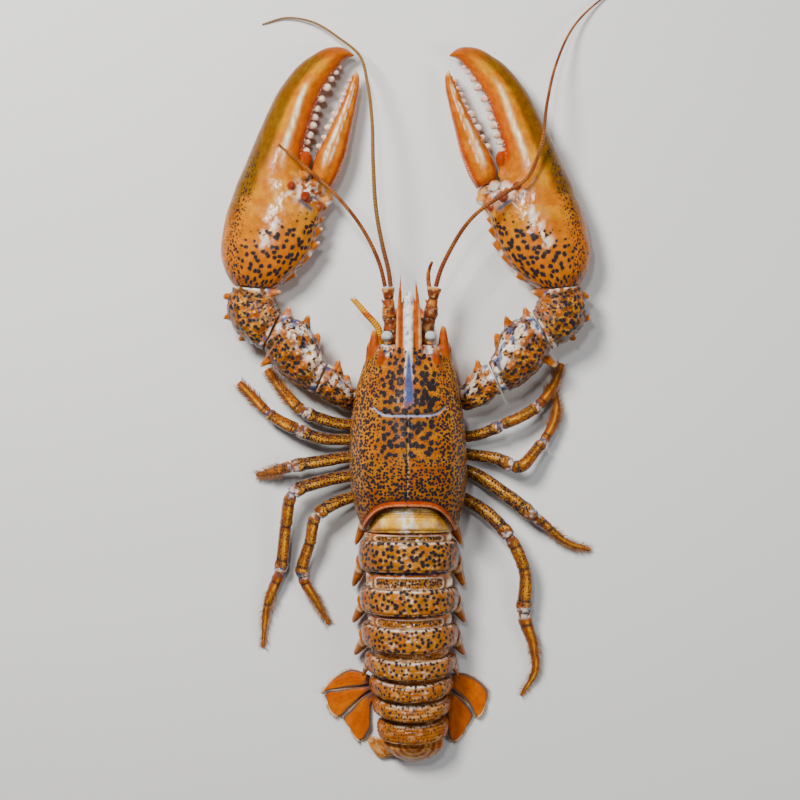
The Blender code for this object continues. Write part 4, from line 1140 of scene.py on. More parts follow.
def first_tail_segment():
    """The plain gold ring that slides under the carapace."""
    key_rows = (
        (POCKET_WALL_Y - 0.5, 0.2, 17.0, 22.0, 34.0, 15.4, 0.0),
        (-37.4, 0.2, 18.0, 21.0, 35.4, 15.4, 0.0),
        (-38.4, 0.2, 18.2, 14.0, 36.0, 4.0, 0.0),
        (-40.0, 0.2, 19.6, 13.5, 38.0, 3.6, 0.10),
        (-42.2, 0.2, 21.0, 13.0, 39.8, 3.0, 0.16),
        (-46.5, 0.1, 21.8, 12.4, 40.6, 2.4, 0.10),
        (-51.0, 0.0, 22.8, 11.6, 40.0, 1.6, 0.03),
        (-52.7, 0.0, 23.8, 11.0, 38.8, TAIL_LOW, 0.0),
        (-53.8, 0.0, 23.2, 11.0, 37.8, TAIL_LOW, 0.0),
    )
    table = np.array(key_rows)
    ys = np.concatenate([table[:, 0], np.linspace(-38.6, -53.6, 44)])
    ys = np.unique(ys)[::-1]
    rows = np.stack([np.interp(-ys, -table[:, 0], table[:, column]) for column in range(7)], axis=1)
    for ring_y, depth in ((-43.6, 0.22), (-45.2, 0.16), (-52.4, 0.3)):
        rows[:, 4] -= depth * hump(ys, ring_y, 0.35)
    flaps = pleura("tail_segment_1", 0.0, 23.6, -53.8, TAIL_LOW)

    def paint(points):
        x, y, z = points.T
        level_y = y + np.interp(y, (-51, -42.2), (0.03, 0.2)) * (39.6 - z)
        colours = dappled(points, FIRST_GOLD, FIRST_CREAM, 4.0, 2)
        # Painted highlights: white gloss patches over the top, strongest in the middle, and a streaky
        # gleam along the middle.
        white_highlight_patches = in_patches(points * (0.5, 1.0, 0.5), 3.0, 141, 0.46, 0.60) * ramp(points[:, 2], 22, 33)
        colours = mix(colours, WHITE, white_highlight_patches * (0.15 + 0.7 * hump(x, -1.0, 6.5)))
        gleam = hump(x, -0.5, 4.5) * in_patches(points * (1.5, 0.6, 1.0), 2.2, 143, 0.42, 0.55)
        colours = mix(colours, WHITE, gleam * 0.9)
        colours = mix(colours, ORANGE, hump(np.abs(x), 17.0, 2.5) * 0.4)
        for ring_y, strength in ((-42.6, 0.9), (-43.8, 0.8), (-45.4, 0.6), (-52.3, 0.9)):
            colours = mix(colours, BROWN, hump(level_y, ring_y, 0.3) * strength)
        colours = mix(colours, YELLOW, hump(level_y, -44.6, 0.5) * 0.7)
        # Painted shade on the front, where the ring slides under the carapace.
        colours = mix(colours, BROWN_RED * 0.5, ramp(level_y, -41.0, -39.8))
        colours = mix(colours, WHITE, ramp(np.abs(x), 19.5, 21.5) * ramp(z, 22, 28) * 0.5)
        colours = mix(colours, ORANGE, (1 - ramp(z, 14, 24)) * 0.7)
        colours = mix(colours, FIRST_UNDER, (1 - ramp(z, 2, 5)) * 0.7)
        return colours, np.zeros(len(x)), np.zeros(len(x))

    finish_tail("tail_segment_1", skin_of(tail_rings(rows)), flaps, paint)


# y, middle x, half width, side z, top z, low z, tilt
TELSON_ROWS = (
    (-162.6, 2.4, 14.8, 9.0, 14.6, 6.4, -0.34),
    (-166.4, 2.4, 15.4, 9.0, 15.1, 5.6, -0.34),
    (-168.9, 2.5, 15.8, 9.0, 15.6, 3.6, -0.34),
    (-170.0, 2.6, 15.8, 9.0, 16.4, 3.4, -0.36),
    (-172.0, 2.7, 14.9, 8.6, 15.0, 3.0, -0.40),
    (-174.0, 2.8, 13.1, 8.0, 13.2, 2.6, -0.44),
    (-175.6, 2.8, 10.9, 7.0, 11.0, 2.2, -0.47),
    (-176.8, 2.8, 8.4, 5.8, 8.6, 1.8, -0.49),
    (-177.5, 2.8, 5.8, 5.0, 6.9, 1.7, -0.50),
    (-177.9, 2.8, 2.6, 4.4, 5.6, 1.9, -0.50),
)
TELSON_MIDDLE = 2.6
TELSON_HALF_WIDTH = 15.8
TELSON_RING_PITCH = 2.6
FAN_HALF_THICKNESS = 1.15
# x and y of the outer margin, x and y of the inner margin, z of the middle
TELSON_LOBE = (
    (-9.0, -168.6, -3.6, -170.6, 6.0),
    (-15.0, -165.8, -5.6, -172.8, 3.9),
    (-20.4, -164.8, -8.6, -174.8, 3.3),
    (-21.8, -168.6, -11.6, -176.0, 2.6),
    (-18.4, -173.6, -15.0, -176.4, 2.2),
)
FAN_PLATES = {
    "tail_fan_left_1": (
        (-18.4, -133.2, -18.4, -135.6, 3.6),
        (-24.0, -130.4, -24.6, -137.2, 3.4),
        (-31.6, -129.0, -31.6, -138.0, 3.0),
        (-38.0, -132.2, -38.2, -139.0, 2.6),
        (-42.6, -136.4, -42.8, -139.6, 2.2),
        (-44.4, -138.6, -44.4, -140.0, 2.0),
    ),
    "tail_fan_left_2": (
        (-18.4, -136.6, -18.4, -138.6, 3.4),
        (-25.0, -138.2, -24.2, -142.0, 3.2),
        (-31.6, -138.9, -27.6, -145.2, 2.8),
        (-38.2, -139.9, -31.8, -149.6, 2.4),
        (-44.4, -141.0, -34.8, -153.0, 2.0),
        (-43.6, -147.0, -37.8, -153.8, 1.7),
    ),
    "tail_fan_left_3": (
        (-18.4, -139.6, -18.2, -142.6, 3.2),
        (-23.6, -142.8, -20.4, -148.0, 3.0),
        (-27.2, -146.2, -20.6, -154.0, 2.6),
        (-31.0, -150.4, -20.4, -160.0, 2.2),
        (-34.8, -154.8, -22.8, -164.6, 1.9),
        (-31.0, -160.6, -26.2, -166.8, 1.6),
    ),
    "tail_fan_right_1": (
        (19.4, -133.4, 19.4, -138.0, 3.5),
        (27.0, -130.6, 23.8, -139.6, 3.3),
        (34.0, -132.6, 28.0, -142.4, 3.0),
        (39.4, -136.4, 32.0, -146.4, 2.6),
        (42.3, -141.0, 34.8, -151.6, 2.2),
        (41.4, -147.2, 36.8, -154.0, 1.9),
    ),
    "tail_fan_right_2": (
        (19.4, -139.2, 19.2, -143.0, 3.2),
        (23.0, -140.6, 20.6, -146.0, 3.1),
        (27.2, -143.6, 21.0, -151.0, 2.8),
        (31.2, -147.4, 20.6, -158.0, 2.5),
        (34.4, -153.0, 21.4, -164.2, 2.0),
        (30.4, -160.6, 24.2, -167.4, 1.6),
    ),
}
TELSON_BROWN = tint(0.480, 0.120, 0.006)
TELSON_TAN = tint(0.640, 0.260, 0.050)
FAN_ORANGE = tint(0.660, 0.146, 0.000)
FAN_RUST = tint(0.580, 0.104, 0.000)
FAN_RIB = tint(0.420, 0.060, 0.001)
FAN_SEAM = tint(0.001, 0.052, 0.060)
FAN_SEAM_LIT = tint(0.003, 0.200, 0.240)
FAN_ROOT = tint(0.004, 0.034, 0.050)
FAN_SQUARENESS = 2.6


def telson():
    """The rippled end plate of the tail, with the curled lobe at its left."""
    rows = smooth_rows([(row[0], 0.0, *row) for row in TELSON_ROWS], eased(48, 0.4))[:, 2:]
    plate = skin_of(tail_rings(rows, 2.3, 3.0))
    lobe_ribbon = Ribbon([(*row, FAN_HALF_THICKNESS) for row in TELSON_LOBE])
    lobe = skin_of(lobe_ribbon.rings(eased(40), 48, FAN_SQUARENESS))
    mesh = mesh_from(joined([plate, lobe]))
    is_lobe = (np.arange(len(mesh.vertices)) >= len(plate[0])).astype(float)
    points = points_of(mesh)
    reach = np.hypot((points[:, 0] - TELSON_MIDDLE) * 0.85, points[:, 1] + 167.0)
    ripples = np.sin(reach * TELSON_RING_PITCH)
    amount = 0.16 * ripples * (1 - is_lobe)
    amount += (rough(points, 3.0, 41) - 0.5) * 0.35
    points = pushed(mesh, amount)
    colours = dappled(points, TELSON_BROWN, TELSON_TAN, 3.0, 43, 0.4, 0.65)
    colours = mix(colours, BROWN, np.clip(-ripples, 0, 1) ** 2 * (1 - is_lobe) * 0.45)
    colours = mix(colours, PALE, np.clip(ripples, 0, 1) ** 3 * (1 - is_lobe) * 0.4)
    across = np.abs(points[:, 0] - TELSON_MIDDLE) / TELSON_HALF_WIDTH
    colours = mix(colours, DEEP_ORANGE, ramp(across, 0.65, 1.0) * (1 - is_lobe) * 0.6)
    colours = mix(colours, PALE, is_lobe * in_patches(points, 2.0, 44, 0.45, 0.6) * 0.6)
    coloured(mesh, colours, 0.0, 0.0)
    piece("telson_skin", mesh, TAIL, "shell", "telson", sharp=50)


def fan_plate(name, rows, rng):
    """A thin plate with faint ribs, teal seams along its sides and a pale rim. Returns its hairs."""
    ribbon = Ribbon([(*row, FAN_HALF_THICKNESS) for row in rows])
    places = eased(FAN_RINGS, 0.5)
    rings = ribbon.rings(places, FAN_SIDES, FAN_SQUARENESS)
    u, _ = oval(FAN_SIDES, FAN_SQUARENESS, FAN_SQUARENESS)
    middle = rings.mean(1)
    ahead = np.gradient(middle, axis=0)
    ahead /= np.linalg.norm(ahead, axis=1)[:, None]
    towards_end = ramp(places, 0.55, 1.0)[:, None, None]
    fuller = 1 + 0.07 * ramp(places, 0.1, 0.4) - 0.16 * ramp(places, 0.90, 1.0) ** 2
    growth = np.stack([fuller, fuller, np.ones(FAN_RINGS)], axis=-1)
    rings = middle[:, None] + (rings - middle[:, None]) * growth[:, None]
    rings += ahead[:, None] * (1 - u**2)[None, :, None] * towards_end * 2.0
    mesh = mesh_from(skin_of(rings))
    place = np.concatenate([np.repeat(places, FAN_SIDES), (0.0, 1.0)])
    across = np.concatenate([np.tile(u, FAN_RINGS), (0.0, 0.0)])
    points = points_of(mesh)
    ribs = np.sin(across * 13 + noise(points, 6.0, 5) * 3.0)
    amount = 0.035 * ribs + (rough(points, 3.0, 3) - 0.5) * 0.20
    points = pushed(mesh, amount * (1 - ramp(place, 0.9, 1)))
    colours = dappled(points, FAN_ORANGE, FAN_RUST, 5.0, 7, 0.38, 0.64)
    colours = mix(colours, FAN_RIB, np.clip(-ribs, 0, 1) ** 3 * 0.25)
    seam = hump(np.abs(across), 0.86, 0.08) * ramp(place, 0.02, 0.1) * (1 - ramp(place, 0.90, 0.97))
    colours = mix(colours, FAN_SEAM, seam * 0.95)
    lit = hump(np.abs(across), 0.92, 0.025) * ramp(place, 0.05, 0.2) * (1 - ramp(place, 0.85, 0.95))
    colours = mix(colours, FAN_SEAM_LIT, lit * 0.8)
    root = (1 - ramp(place, 0.10, 0.34)) * in_flecks(points, 3.0, 71, 0.42, 0.58)
    colours = mix(colours, FAN_ROOT, root * 0.8)
    side_rim = ramp(np.abs(across), 0.975, 0.995) * ramp(place, 0.45, 0.55)
    rim = np.maximum(ramp(place, 0.975, 0.995), side_rim)
    colours = mix(colours, WHITE, rim * 0.8)
    coloured(mesh, colours)
    piece(name + "_skin", mesh, FAN, "tail_fan", name)
    return fringe(ribbon, rings[-1], rng)


def hair_shape(root, direction, length, width, bend):
    """One curved hair, three-sided and pointed."""
    direction = direction / np.linalg.norm(direction)
    across = np.cross(direction, (0, 0, 1.0))
    across /= np.linalg.norm(across)
    up = np.cross(across, direction)
    turns = 2 * math.pi * np.arange(3) / 3
    ring = across * np.cos(turns)[:, None] + up * np.sin(turns)[:, None]
    share = np.array([0.0, 0.4, 0.75, 1.0])
    path = root + direction * (share * length)[:, None] + bend * (share**2)[:, None] * length
    size = width * np.array([1.0, 0.8, 0.5, 0.12])
    return skin_of(path[:, None] + ring[None] * size[:, None, None])


def fringe(ribbon, end_ring, rng):
    """Hairs round the plate's free margin."""
    hairs = []
    for side, first in ((1, 0.42), (-1, 0.80)):
        for place in np.linspace(first, 0.97, 70 if side > 0 else 30):
            centre, half, _ = ribbon.at(place)
            root = centre + half * side * 1.02
            ahead = ribbon.at(min(place + 0.03, 1))[0] - ribbon.at(place - 0.03)[0]
            out = half / np.linalg.norm(half) * side + ahead / np.linalg.norm(ahead) * 0.5
            out = out + rng.normal(0, 0.16, 3) * (1, 1, 0.4)
            hairs.append((root, out, rng.uniform(0.9, 2.0)))
    tip, half, _ = ribbon.at(1.0)
    ahead = tip - ribbon.at(0.94)[0]
    middle = end_ring.mean(0)
    for point in end_ring[:: len(end_ring) // 64]:
        share = (point - middle) @ half / (half @ half)
        out = ahead / np.linalg.norm(ahead) + half / np.linalg.norm(half) * share * 0.5
        out = out + rng.normal(0, 0.16, 3) * (1, 1, 0.4)
        hairs.append((point, out, rng.uniform(1.0, 2.2)))
    return [
        hair_shape(root, out, length, 0.09, rng.normal(0, 0.12, 3)) for root, out, length in hairs
    ]


# Claws and arms

# x and y of the outer margin, x and y of the inner margin, z of the middle, half thickness
CLAW_ROWS = (
    (-93.6, 76.9, -71.2, 75.0, 13.0, 8.5),
    (-98.2, 84.8, -62.4, 81.6, 13.2, 11.6),
    (-100.2, 94.6, -55.6, 89.6, CLAW_HALF_THICKNESS, 13.2),
    (-99.0, 105.0, -50.8, 99.0, CLAW_HALF_THICKNESS, CLAW_HALF_THICKNESS),
    (-96.4, 117.0, -47.0, 112.4, CLAW_HALF_THICKNESS, 13.2),
    (-92.6, 128.0, -46.0, 121.4, 13.2, 12.6),
    (-89.6, 135.6, -53.6, 132.6, 13.0, 12.0),
    (-85.8, 144.6, -56.4, 141.4, 12.8, 11.4),
    (-77.6, 163.6, -52.6, 162.0, 12.2, 9.8),
    (-67.6, 183.6, -46.2, 180.6, 11.4, 8.0),
    (-53.4, 198.6, -37.6, 193.6, 10.4, 5.8),
    (-41.8, 204.3, -32.8, 198.4, 9.6, 4.2),
    (-33.4, 203.6, -29.8, 199.4, 9.0, 2.4),
    (-29.4, 200.6, -28.6, 199.4, 8.8, 0.9),
)
FINGER_ROWS = (
    (-51.4, 132.8, -41.2, 128.4, 12.6, 6.4),
    (-50.8, 139.0, -37.8, 134.8, 12.4, 7.8),
    (-48.6, 146.4, -34.0, 145.8, 12.2, 7.6),
    (-44.2, 155.6, -31.4, 155.4, 11.8, 6.8),
    (-39.6, 165.6, -29.2, 165.4, 11.2, 5.8),
    (-35.2, 175.0, -27.4, 175.2, 10.4, 4.6),
    (-31.8, 184.4, -26.2, 184.6, 9.6, 3.4),
    (-29.4, 190.2, -26.8, 190.2, 9.2, 2.0),
    (-28.6, 192.2, -28.0, 192.2, 9.0, 0.8),
)
WRIST_ROWS = (
    (-77.4, 42.6, -67.6, 63.6, 16.8, 10.0),
    (-85.4, 46.8, -69.8, 66.8, 16.4, 11.4),
    (-93.2, 54.4, -70.6, 69.6, 15.8, 11.8),
    (-96.6, 64.6, -70.8, 72.0, 15.0, 11.2),
    (-94.4, 76.2, -71.4, 74.2, 13.6, 8.8),
)
UPPER_ARM_ROWS = (
    (-50.6, 19.6, -43.4, 35.6, 15.6, 8.2),
    (-56.4, 21.8, -45.8, 39.6, 16.6, 9.6),
    (-65.0, 27.4, -50.4, 50.4, 17.4, 10.8),
    (-73.0, 35.6, -58.0, 58.4, 17.4, 11.2),
    (-76.6, 41.8, -66.8, 62.8, 17.0, 9.8),
)
ARM_BASE_ROWS = (
    (-HIP_X, 11.6, -HIP_X, 21.6, 6.2, 5.2),
    (-24.6, 11.4, -24.0, 22.6, 6.2, 5.4),
    (-31.6, 10.4, -29.6, 24.0, 10.2, 7.2),
    (-40.4, 13.2, -35.4, 30.0, 13.4, 8.4),
    (-49.6, 19.2, -42.4, 35.4, 15.4, 8.4),
)

# base and tip of each thorn of the left palm
CLAW_THORNS = (
    ((-65.4, 80.8, 14.0), (-58.6, 82.6, 15.0), 2.3),
    ((-57.4, 89.4, 14.4), (-51.6, 93.4, 15.4), 2.4),
    ((-53.0, 96.2, 14.4), (-47.2, 100.2, 15.4), 2.4),
    ((-50.8, 103.6, 14.4), (-45.4, 107.6, 15.2), 2.4),
    ((-48.8, 110.0, 14.2), (-44.4, 113.2, 14.8), 1.7),
    ((-47.4, 116.4, 13.8), (-42.4, 119.8, 14.6), 2.0),
)
# place along the piece, degrees round from the outer margin over the top, length, radius, lean
WRIST_THORNS = (
    (0.88, 12, 4.4, 2.6, 0.0),
    (0.62, 0, 4.0, 2.5),
    (0.32, -6, 4.0, 2.3),
    (0.80, 150, 7.0, 3.0, 0.0),
    (0.46, 92, 2.6, 2.0),
    (0.24, 128, 3.4, 2.0),
    (0.60, 128, 2.6, 1.8),
)
UPPER_ARM_THORNS = (
    (0.92, 158, 6.2, 2.6),
    (0.64, 174, 6.8, 2.7),
    (0.36, 176, 5.8, 2.4),
    (0.84, 4, 7.0, 2.9),
    (0.84, 104, 3.6, 2.4),
    (0.66, 98, 3.8, 2.4),
    (0.48, 92, 3.6, 2.3),
    (0.30, 86, 3.4, 2.2),
    (0.50, 136, 3.0, 1.9),
)
ARM_BASE_THORNS = (
    (0.80, 172, 6.8, 2.8),
    (0.58, 160, 4.4, 2.2),
    (0.84, 70, 3.2, 2.2),
    (0.90, 120, 2.8, 2.0),
)
# x, y and radius of the dark bosses, and of the lumps that close the joint
KNOBS = ((-61.6, 129.0, 2.3), (-54.3, 123.4, 2.9), (-47.6, 118.4, 2.5))
HINGE_LUMPS = (
    (-58.2, 133.0, 2.6),
    (-57.4, 126.4, 2.8),
    (-50.6, 129.6, 3.4),
    (-50.8, 120.6, 2.4),
    (-47.0, 127.8, 3.4),
    (-44.0, 126.0, 3.2),
    (-43.0, 122.4, 3.0),
    (-54.6, 135.8, 2.6),
    (-55.0, 140.0, 2.4),
)
ROOT_TOOTH = (-54.4, 144.4, 2.9)
ROOT_TOOTH_Z = 14.0
HINGE_CENTRE = (-52.5, 126.0, 22.0)
HINGE_TOP = 21.0  # the lumps that close the joint rise no higher than this
# first end, last end and width of the pale gleam along the top of the palm
PALM_GLEAMS = (
    ((-76.5, 99.0), (-66.0, 121.0), 3.0),
    ((-66.0, 121.0), (-60.5, 128.0), 1.5),
)
HINGE_SLITS = (((-57.6, 121.2), (-51.8, 117.0)), ((-50.8, 123.6), (-46.6, 122.4)))
CLAW_GIRTH = 23.0  # millimetres of skin for each radian round the claw
CLAW_LENGTH = 148.0
ARM_GIRTH = 13.0
ARM_LENGTH = 34.0
TOOTH_LIGHT = tint(0.860, 0.700, 0.560)
TOOTH_FOOT = tint(0.420, 0.070, 0.010)
TOOTH_SHADE = tint(0.400, 0.090, 0.020)
SMALL_TOOTH = tint(0.480, 0.052, 0.004)
PALM_ORANGE = tint(0.600, 0.165, 0.000)
PALM_GOLD = tint(0.640, 0.250, 0.001)
PALM_BASE = tint(0.600, 0.145, 0.000)
BITE_ORANGE = tint(0.640, 0.130, 0.000)
HIGHLIGHT_GOLD = tint(0.900, 0.740, 0.330)
HINGE_BROWN = tint(0.330, 0.060, 0.010)
SLIT_BLUE = tint(0.010, 0.070, 0.120)
BOSS_RED = tint(0.270, 0.026, 0.006)
BOSS_HIGHLIGHT = tint(0.600, 0.150, 0.050)
ROOT_TOOTH_RED = tint(0.420, 0.048, 0.001)
CLAW_RIM = tint(0.303, 0.062, 0.012)
UNDER_CLAW = tint(0.620, 0.230, 0.015)
FINGER_ORANGE = tint(0.540, 0.125, 0.000)
FINGER_GOLD = tint(0.600, 0.180, 0.002)
FINGER_RED = tint(0.540, 0.062, 0.000)
FINGER_EDGE = tint(0.540, 0.090, 0.000)
FINGER_HIGHLIGHT = tint(0.820, 0.420, 0.080)
UNDER_FINGER = tint(0.884, 0.479, 0.010)
ARM_ORANGE = tint(0.440, 0.085, 0.000)
ARM_GOLD = tint(0.560, 0.145, 0.000)
ARM_SHADE = tint(0.130, 0.044, 0.004)
ARM_JOINT = tint(0.300, 0.060, 0.010)
ARM_THORN = tint(0.560, 0.130, 0.002)
UNDER_ARM = tint(0.884, 0.450, 0.026)
LARGE_TEETH = {
    # y where a large tooth stands on the fixed finger, and its radius
    "fixed": (
        (150.0, 2.3),
        (154.6, 1.7),
        (158.2, 2.1),
        (163.2, 2.2),
        (167.6, 2.0),
        (172.4, 1.9),
        (178.0, 2.1),
        (184.6, 2.3),
        (189.4, 1.7),
        (193.4, 1.5),
        (196.4, 1.2),
    ),
    "moving": (
        (151.0, 1.8),
        (155.8, 1.6),
        (161.0, 2.0),
        (164.8, 1.5),
        (168.4, 2.0),
        (172.2, 1.4),
        (175.6, 1.5),
        (179.2, 1.4),
        (182.6, 1.3),
        (186.4, 1.3),
    ),
}


def place_of(ribbon, y):
    """The share of a ribbon's length at which its middle reaches y."""
    low, high = 0.0, 1.0
    for _ in range(24):
        middle = (low + high) / 2
        low, high = (middle, high) if ribbon.at(middle)[0][1] < y else (low, middle)
    return low


def teeth(name, ribbon, rows, margin, rng):
    """Rounded teeth that stand out of a biting edge, with small bumps along their feet."""
    beads = []
    lean = 1 if margin == 180 else -1
    for y, radius in rows:
        place = place_of(ribbon, y)
        half = ribbon.at(place)[1]
        out = half / np.linalg.norm(half) * -lean
        at = ribbon.point(place, margin, 1.0) + out * radius * 0.45
        beads.append((at, radius, 1.25))
        beads.append((at - out * radius * 0.7 + (0, 0, 0.5), radius * 0.86, 1.2))
    first, last = rows[0][0] - 2, rows[-1][0] + 2
    for height in (20, -14):
        for y in np.arange(first, last, 2.3):
            radius = rng.uniform(0.6, 0.95) * (1.1 - 0.4 * (y - first) / (last - first))
            around = margin - lean * (height + rng.normal(0, 4))
            at = ribbon.point(place_of(ribbon, y + rng.normal(0, 0.3)), around, 0.99)
            beads.append((at, radius, 1.0))
    shapes = []
    sizes = []
    outward = []
    for centre, radius, stretch in beads:
        shape = ball(centre, radius, 10, 14)
        half = ribbon.at(place_of(ribbon, centre[1]))[1]
        axis = half / np.linalg.norm(half) * -lean
        offset = shape[0] - centre
        offset = offset + ((offset @ axis) * (stretch - 1))[:, None] * axis
        shapes.append((centre + offset, shape[1]))
        sizes.append(np.full(len(offset), radius))
        outward.append(offset @ axis / radius)
    mesh = mesh_from(joined(shapes))
    points = points_of(mesh)
    size = np.concatenate(sizes)
    outward = np.concatenate(outward)
    low = (points[:, 2] - points[:, 2].mean()) / 2.5
    colours = mix(TOOTH, TOOTH_LIGHT, in_flecks(points, 1.4, 3, 0.35, 0.7))
    colours = mix(colours, TOOTH_FOOT, (1 - ramp(outward, -0.9, 0.1)) * 0.75)
    colours = mix(colours, TOOTH_SHADE, (1 - ramp(low, -0.9, 0.1)) * 0.5)
    colours = mix(colours, SMALL_TOOTH, (1 - ramp(size, 0.9, 1.2)) * 0.75)
    coloured(mesh, colours)
    piece(name, mesh, TEETH, "claw_shell")


def near_line(points, first, last, width):
    """How near points are to a line in the plan, from 0 to 1."""
    first, last = np.array(first), np.array(last)
    way = last - first
    share = np.clip((points[:, :2] - first) @ way / (way @ way), 0, 1)
    away = np.linalg.norm(points[:, :2] - first - share[:, None] * way, axis=1)
    return np.exp(-((away / width) ** 2))


def near_hinge(points, hinge, up, reach):
    """How near points of the top are to the joint of the moving finger, from 0 to 1."""
    away = np.linalg.norm((points - hinge) * (1, 1.2, 0.6), axis=1)
    return np.exp(-((away / reach) ** 2)) * ramp(up, 0.0, 0.4)


def claw_shapes(ribbon, side, thorns, knobs, tooth):
    """The overlapping shapes of a claw: palm and fixed finger, thorns, bosses and lumps."""

    def crest(places, u):
        """A soft ridge along the finger's top and a hollow on its outer side."""
        on_finger = ramp(places, 0.45, 0.62)
        return on_finger * (0.16 * hump(u, -0.28, 0.28) - 0.05 * hump(u, 0.5, 0.25))

    shapes = [skin_of(ribbon.rings(eased(CLAW_RINGS, 0.5), CLAW_SIDES, 2.2, crest))]
    shapes += [spine_shape(*thorn, blunt=0.7) for thorn in thorns]
    shapes += [ball(centre, radius, 12, 20) for centre, radius in knobs]
    for x, y, radius in HINGE_LUMPS:
        centre = ribbon.on_top(sided_x(x, y, side), y)
        centre[2] = min(centre[2], HINGE_TOP) - radius * 0.5
        shapes.append(ball(centre, radius, 12, 20))
    points, faces = ball(tooth, ROOT_TOOTH[2], 14, 24)
    shapes.append(((points - tooth) * (1.0, 1.5, 1.3) + tooth, faces))
    return shapes


def claw(side, rng):
    """The palm with its fixed finger, and the teeth of that finger."""
    ribbon = Ribbon(sided(CLAW_ROWS, side))

    def placed(x, y, z):
        return np.array([sided_x(x, y, side), y, z])

    def in_plan(x, y):
        return (sided_x(x, y, side), y)

    thorns = [(placed(*base), placed(*tip), radius) for base, tip, radius in CLAW_THORNS]
    knobs = [(ribbon.on_top(*in_plan(x, y)) + (0, 0, -0.3), radius) for x, y, radius in KNOBS]
    tooth = placed(*ROOT_TOOTH[:2], ROOT_TOOTH_Z)
    mesh = remeshed(claw_shapes(ribbon, side, thorns, knobs, tooth), CLAW_VOXEL)

    points = points_of(mesh)
    place, across, up = ribbon.locate(points)
    palm = 1 - ramp(place, 0.30, 0.5)
    hinge = placed(*HINGE_CENTRE)
    amount = (rough(points, 9.0, 51) - 0.5) * (0.5 + 0.7 * palm)
    amount += (noise(points, 1.6, 53) - 0.5) * (0.06 + 0.12 * palm)
    amount += near_hinge(points, hinge, up, 9.0) * (rough(points, 2.6, 55) - 0.5) * 2.0
    points = pushed(mesh, amount)

    place, across, up = ribbon.locate(points)
    finger_share = ramp(place, 0.42, 0.56)
    colours = dappled(points, PALM_ORANGE, PALM_GOLD, 8.0, 57)
    colours = mix(colours, PALM_BASE, (1 - ramp(place, 0.10, 0.36)) * 0.85)
    olive_from = 0.62 - 0.52 * ramp(place, 0.30, 0.52) - 0.08 * ramp(place, 0.7, 0.9)
    olive = ramp(across, olive_from - 0.06, olive_from + 0.22) * ramp(up, 0.05, 0.28)
    olive = olive * ramp(place, 0.10, 0.34) * (1 - 0.85 * ramp(place, 0.86, 0.97))
    olive = olive * (0.76 + 0.4 * rough(points, 1.1, 59))
    colours = mix(colours, OLIVE, np.clip(olive, 0, 1) * 0.9)
    colours = mix(colours, BITE_ORANGE, ramp(-across, 0.28, 0.50) * finger_share * 0.95)
    colours = mix(colours, RED, ramp(-across, 0.62, 0.92) * finger_share * 0.85)
    colours = mix(colours, DEEP_ORANGE, ramp(place, 0.84, 0.94) * 0.75)

    # Painted highlight: a gold band with a broken white streak along the top of the fixed finger.
    streak_at = -0.30 + 0.16 * ramp(place, 0.62, 0.80)
    broad_streak = hump(across, streak_at, 0.13) * finger_share * (1 - ramp(place, 0.70, 0.82))
    highlight_line = hump(across, streak_at, 0.07) * finger_share * (1 - ramp(place, 0.70, 0.80))
    highlight_breaks = in_flecks(points * (1.2, 0.25, 1.0), 1.3, 67, 0.30, 0.52)
    colours = mix(colours, HIGHLIGHT_GOLD, broad_streak * 0.6)
    colours = mix(colours, WHITE, highlight_line * highlight_breaks * 0.9)
    # Painted highlight: pale streaky patches along the top of the palm.
    palm_highlight = np.zeros(len(points))
    for first, last, width in PALM_GLEAMS:
        palm_highlight = np.maximum(palm_highlight, near_line(points, in_plan(*first), in_plan(*last), width))
    wisps = in_patches(points * (1.0, 0.6, 1.0), 2.6, 69, 0.44, 0.56)
    palm_highlight = palm_highlight * wisps * ramp(up, 0.5, 0.8)
    colours = mix(colours, WHITE, palm_highlight * 0.8)
    edge = ramp(across, 0.50, 0.75) * ramp(place, 0.02, 0.10)
    colours = mix(colours, ORANGE, edge * hump(up, 0.14, 0.14) * 0.7)
    # Painted rim highlight: a pale line low on the outer edge.
    colours = mix(colours, PALE, edge * hump(up, 0.04, 0.10) * 0.4)

    hinge_near = near_hinge(points, hinge, up, 7.6)
    colours = mix(colours, HINGE_BROWN, np.clip(hinge_near * 1.4, 0, 1) * 0.8)
    # Painted highlight: white patches round the joint.
    colours = mix(colours, WHITE, hinge_near * in_patches(points, 2.2, 61, 0.43, 0.55) * 0.95)
    for first, last in HINGE_SLITS:
        slit = near_line(points, in_plan(*first), in_plan(*last), 1.0) * ramp(up, 0.3, 0.6)
        colours = mix(colours, SLIT_BLUE, np.clip(slit * 1.3, 0, 1) * 0.9)
    for centre, radius in knobs:
        near = ramp(np.linalg.norm(points - centre, axis=1), radius * 1.3, radius * 0.98)
        rise = points[:, 2] - centre[2]
        colours = mix(colours, BOSS_RED, near * ramp(rise, -1, 0.6) * 0.95)
        # Painted highlight: a lighter cap on the top of each boss.
        colours = mix(colours, BOSS_HIGHLIGHT, near * ramp(rise, radius * 0.86, radius) * 0.6)
    from_tooth = np.linalg.norm((points - tooth) * (1, 0.7, 0.8), axis=1) / ROOT_TOOTH[2]
    colours = mix(colours, ROOT_TOOTH_RED, ramp(from_tooth, 1.15, 0.95) * 0.95)
    colours = mix(colours, CLAW_RIM, (1 - ramp(place, 0.012, 0.035)) * 0.7)
    under = 1 - ramp(up, -0.8, -0.3)
    colours = mix(colours, UNDER_CLAW, under * 0.75)
    colours, clear = paint_thorns(points, colours, thorns, ORANGE, WHITE)

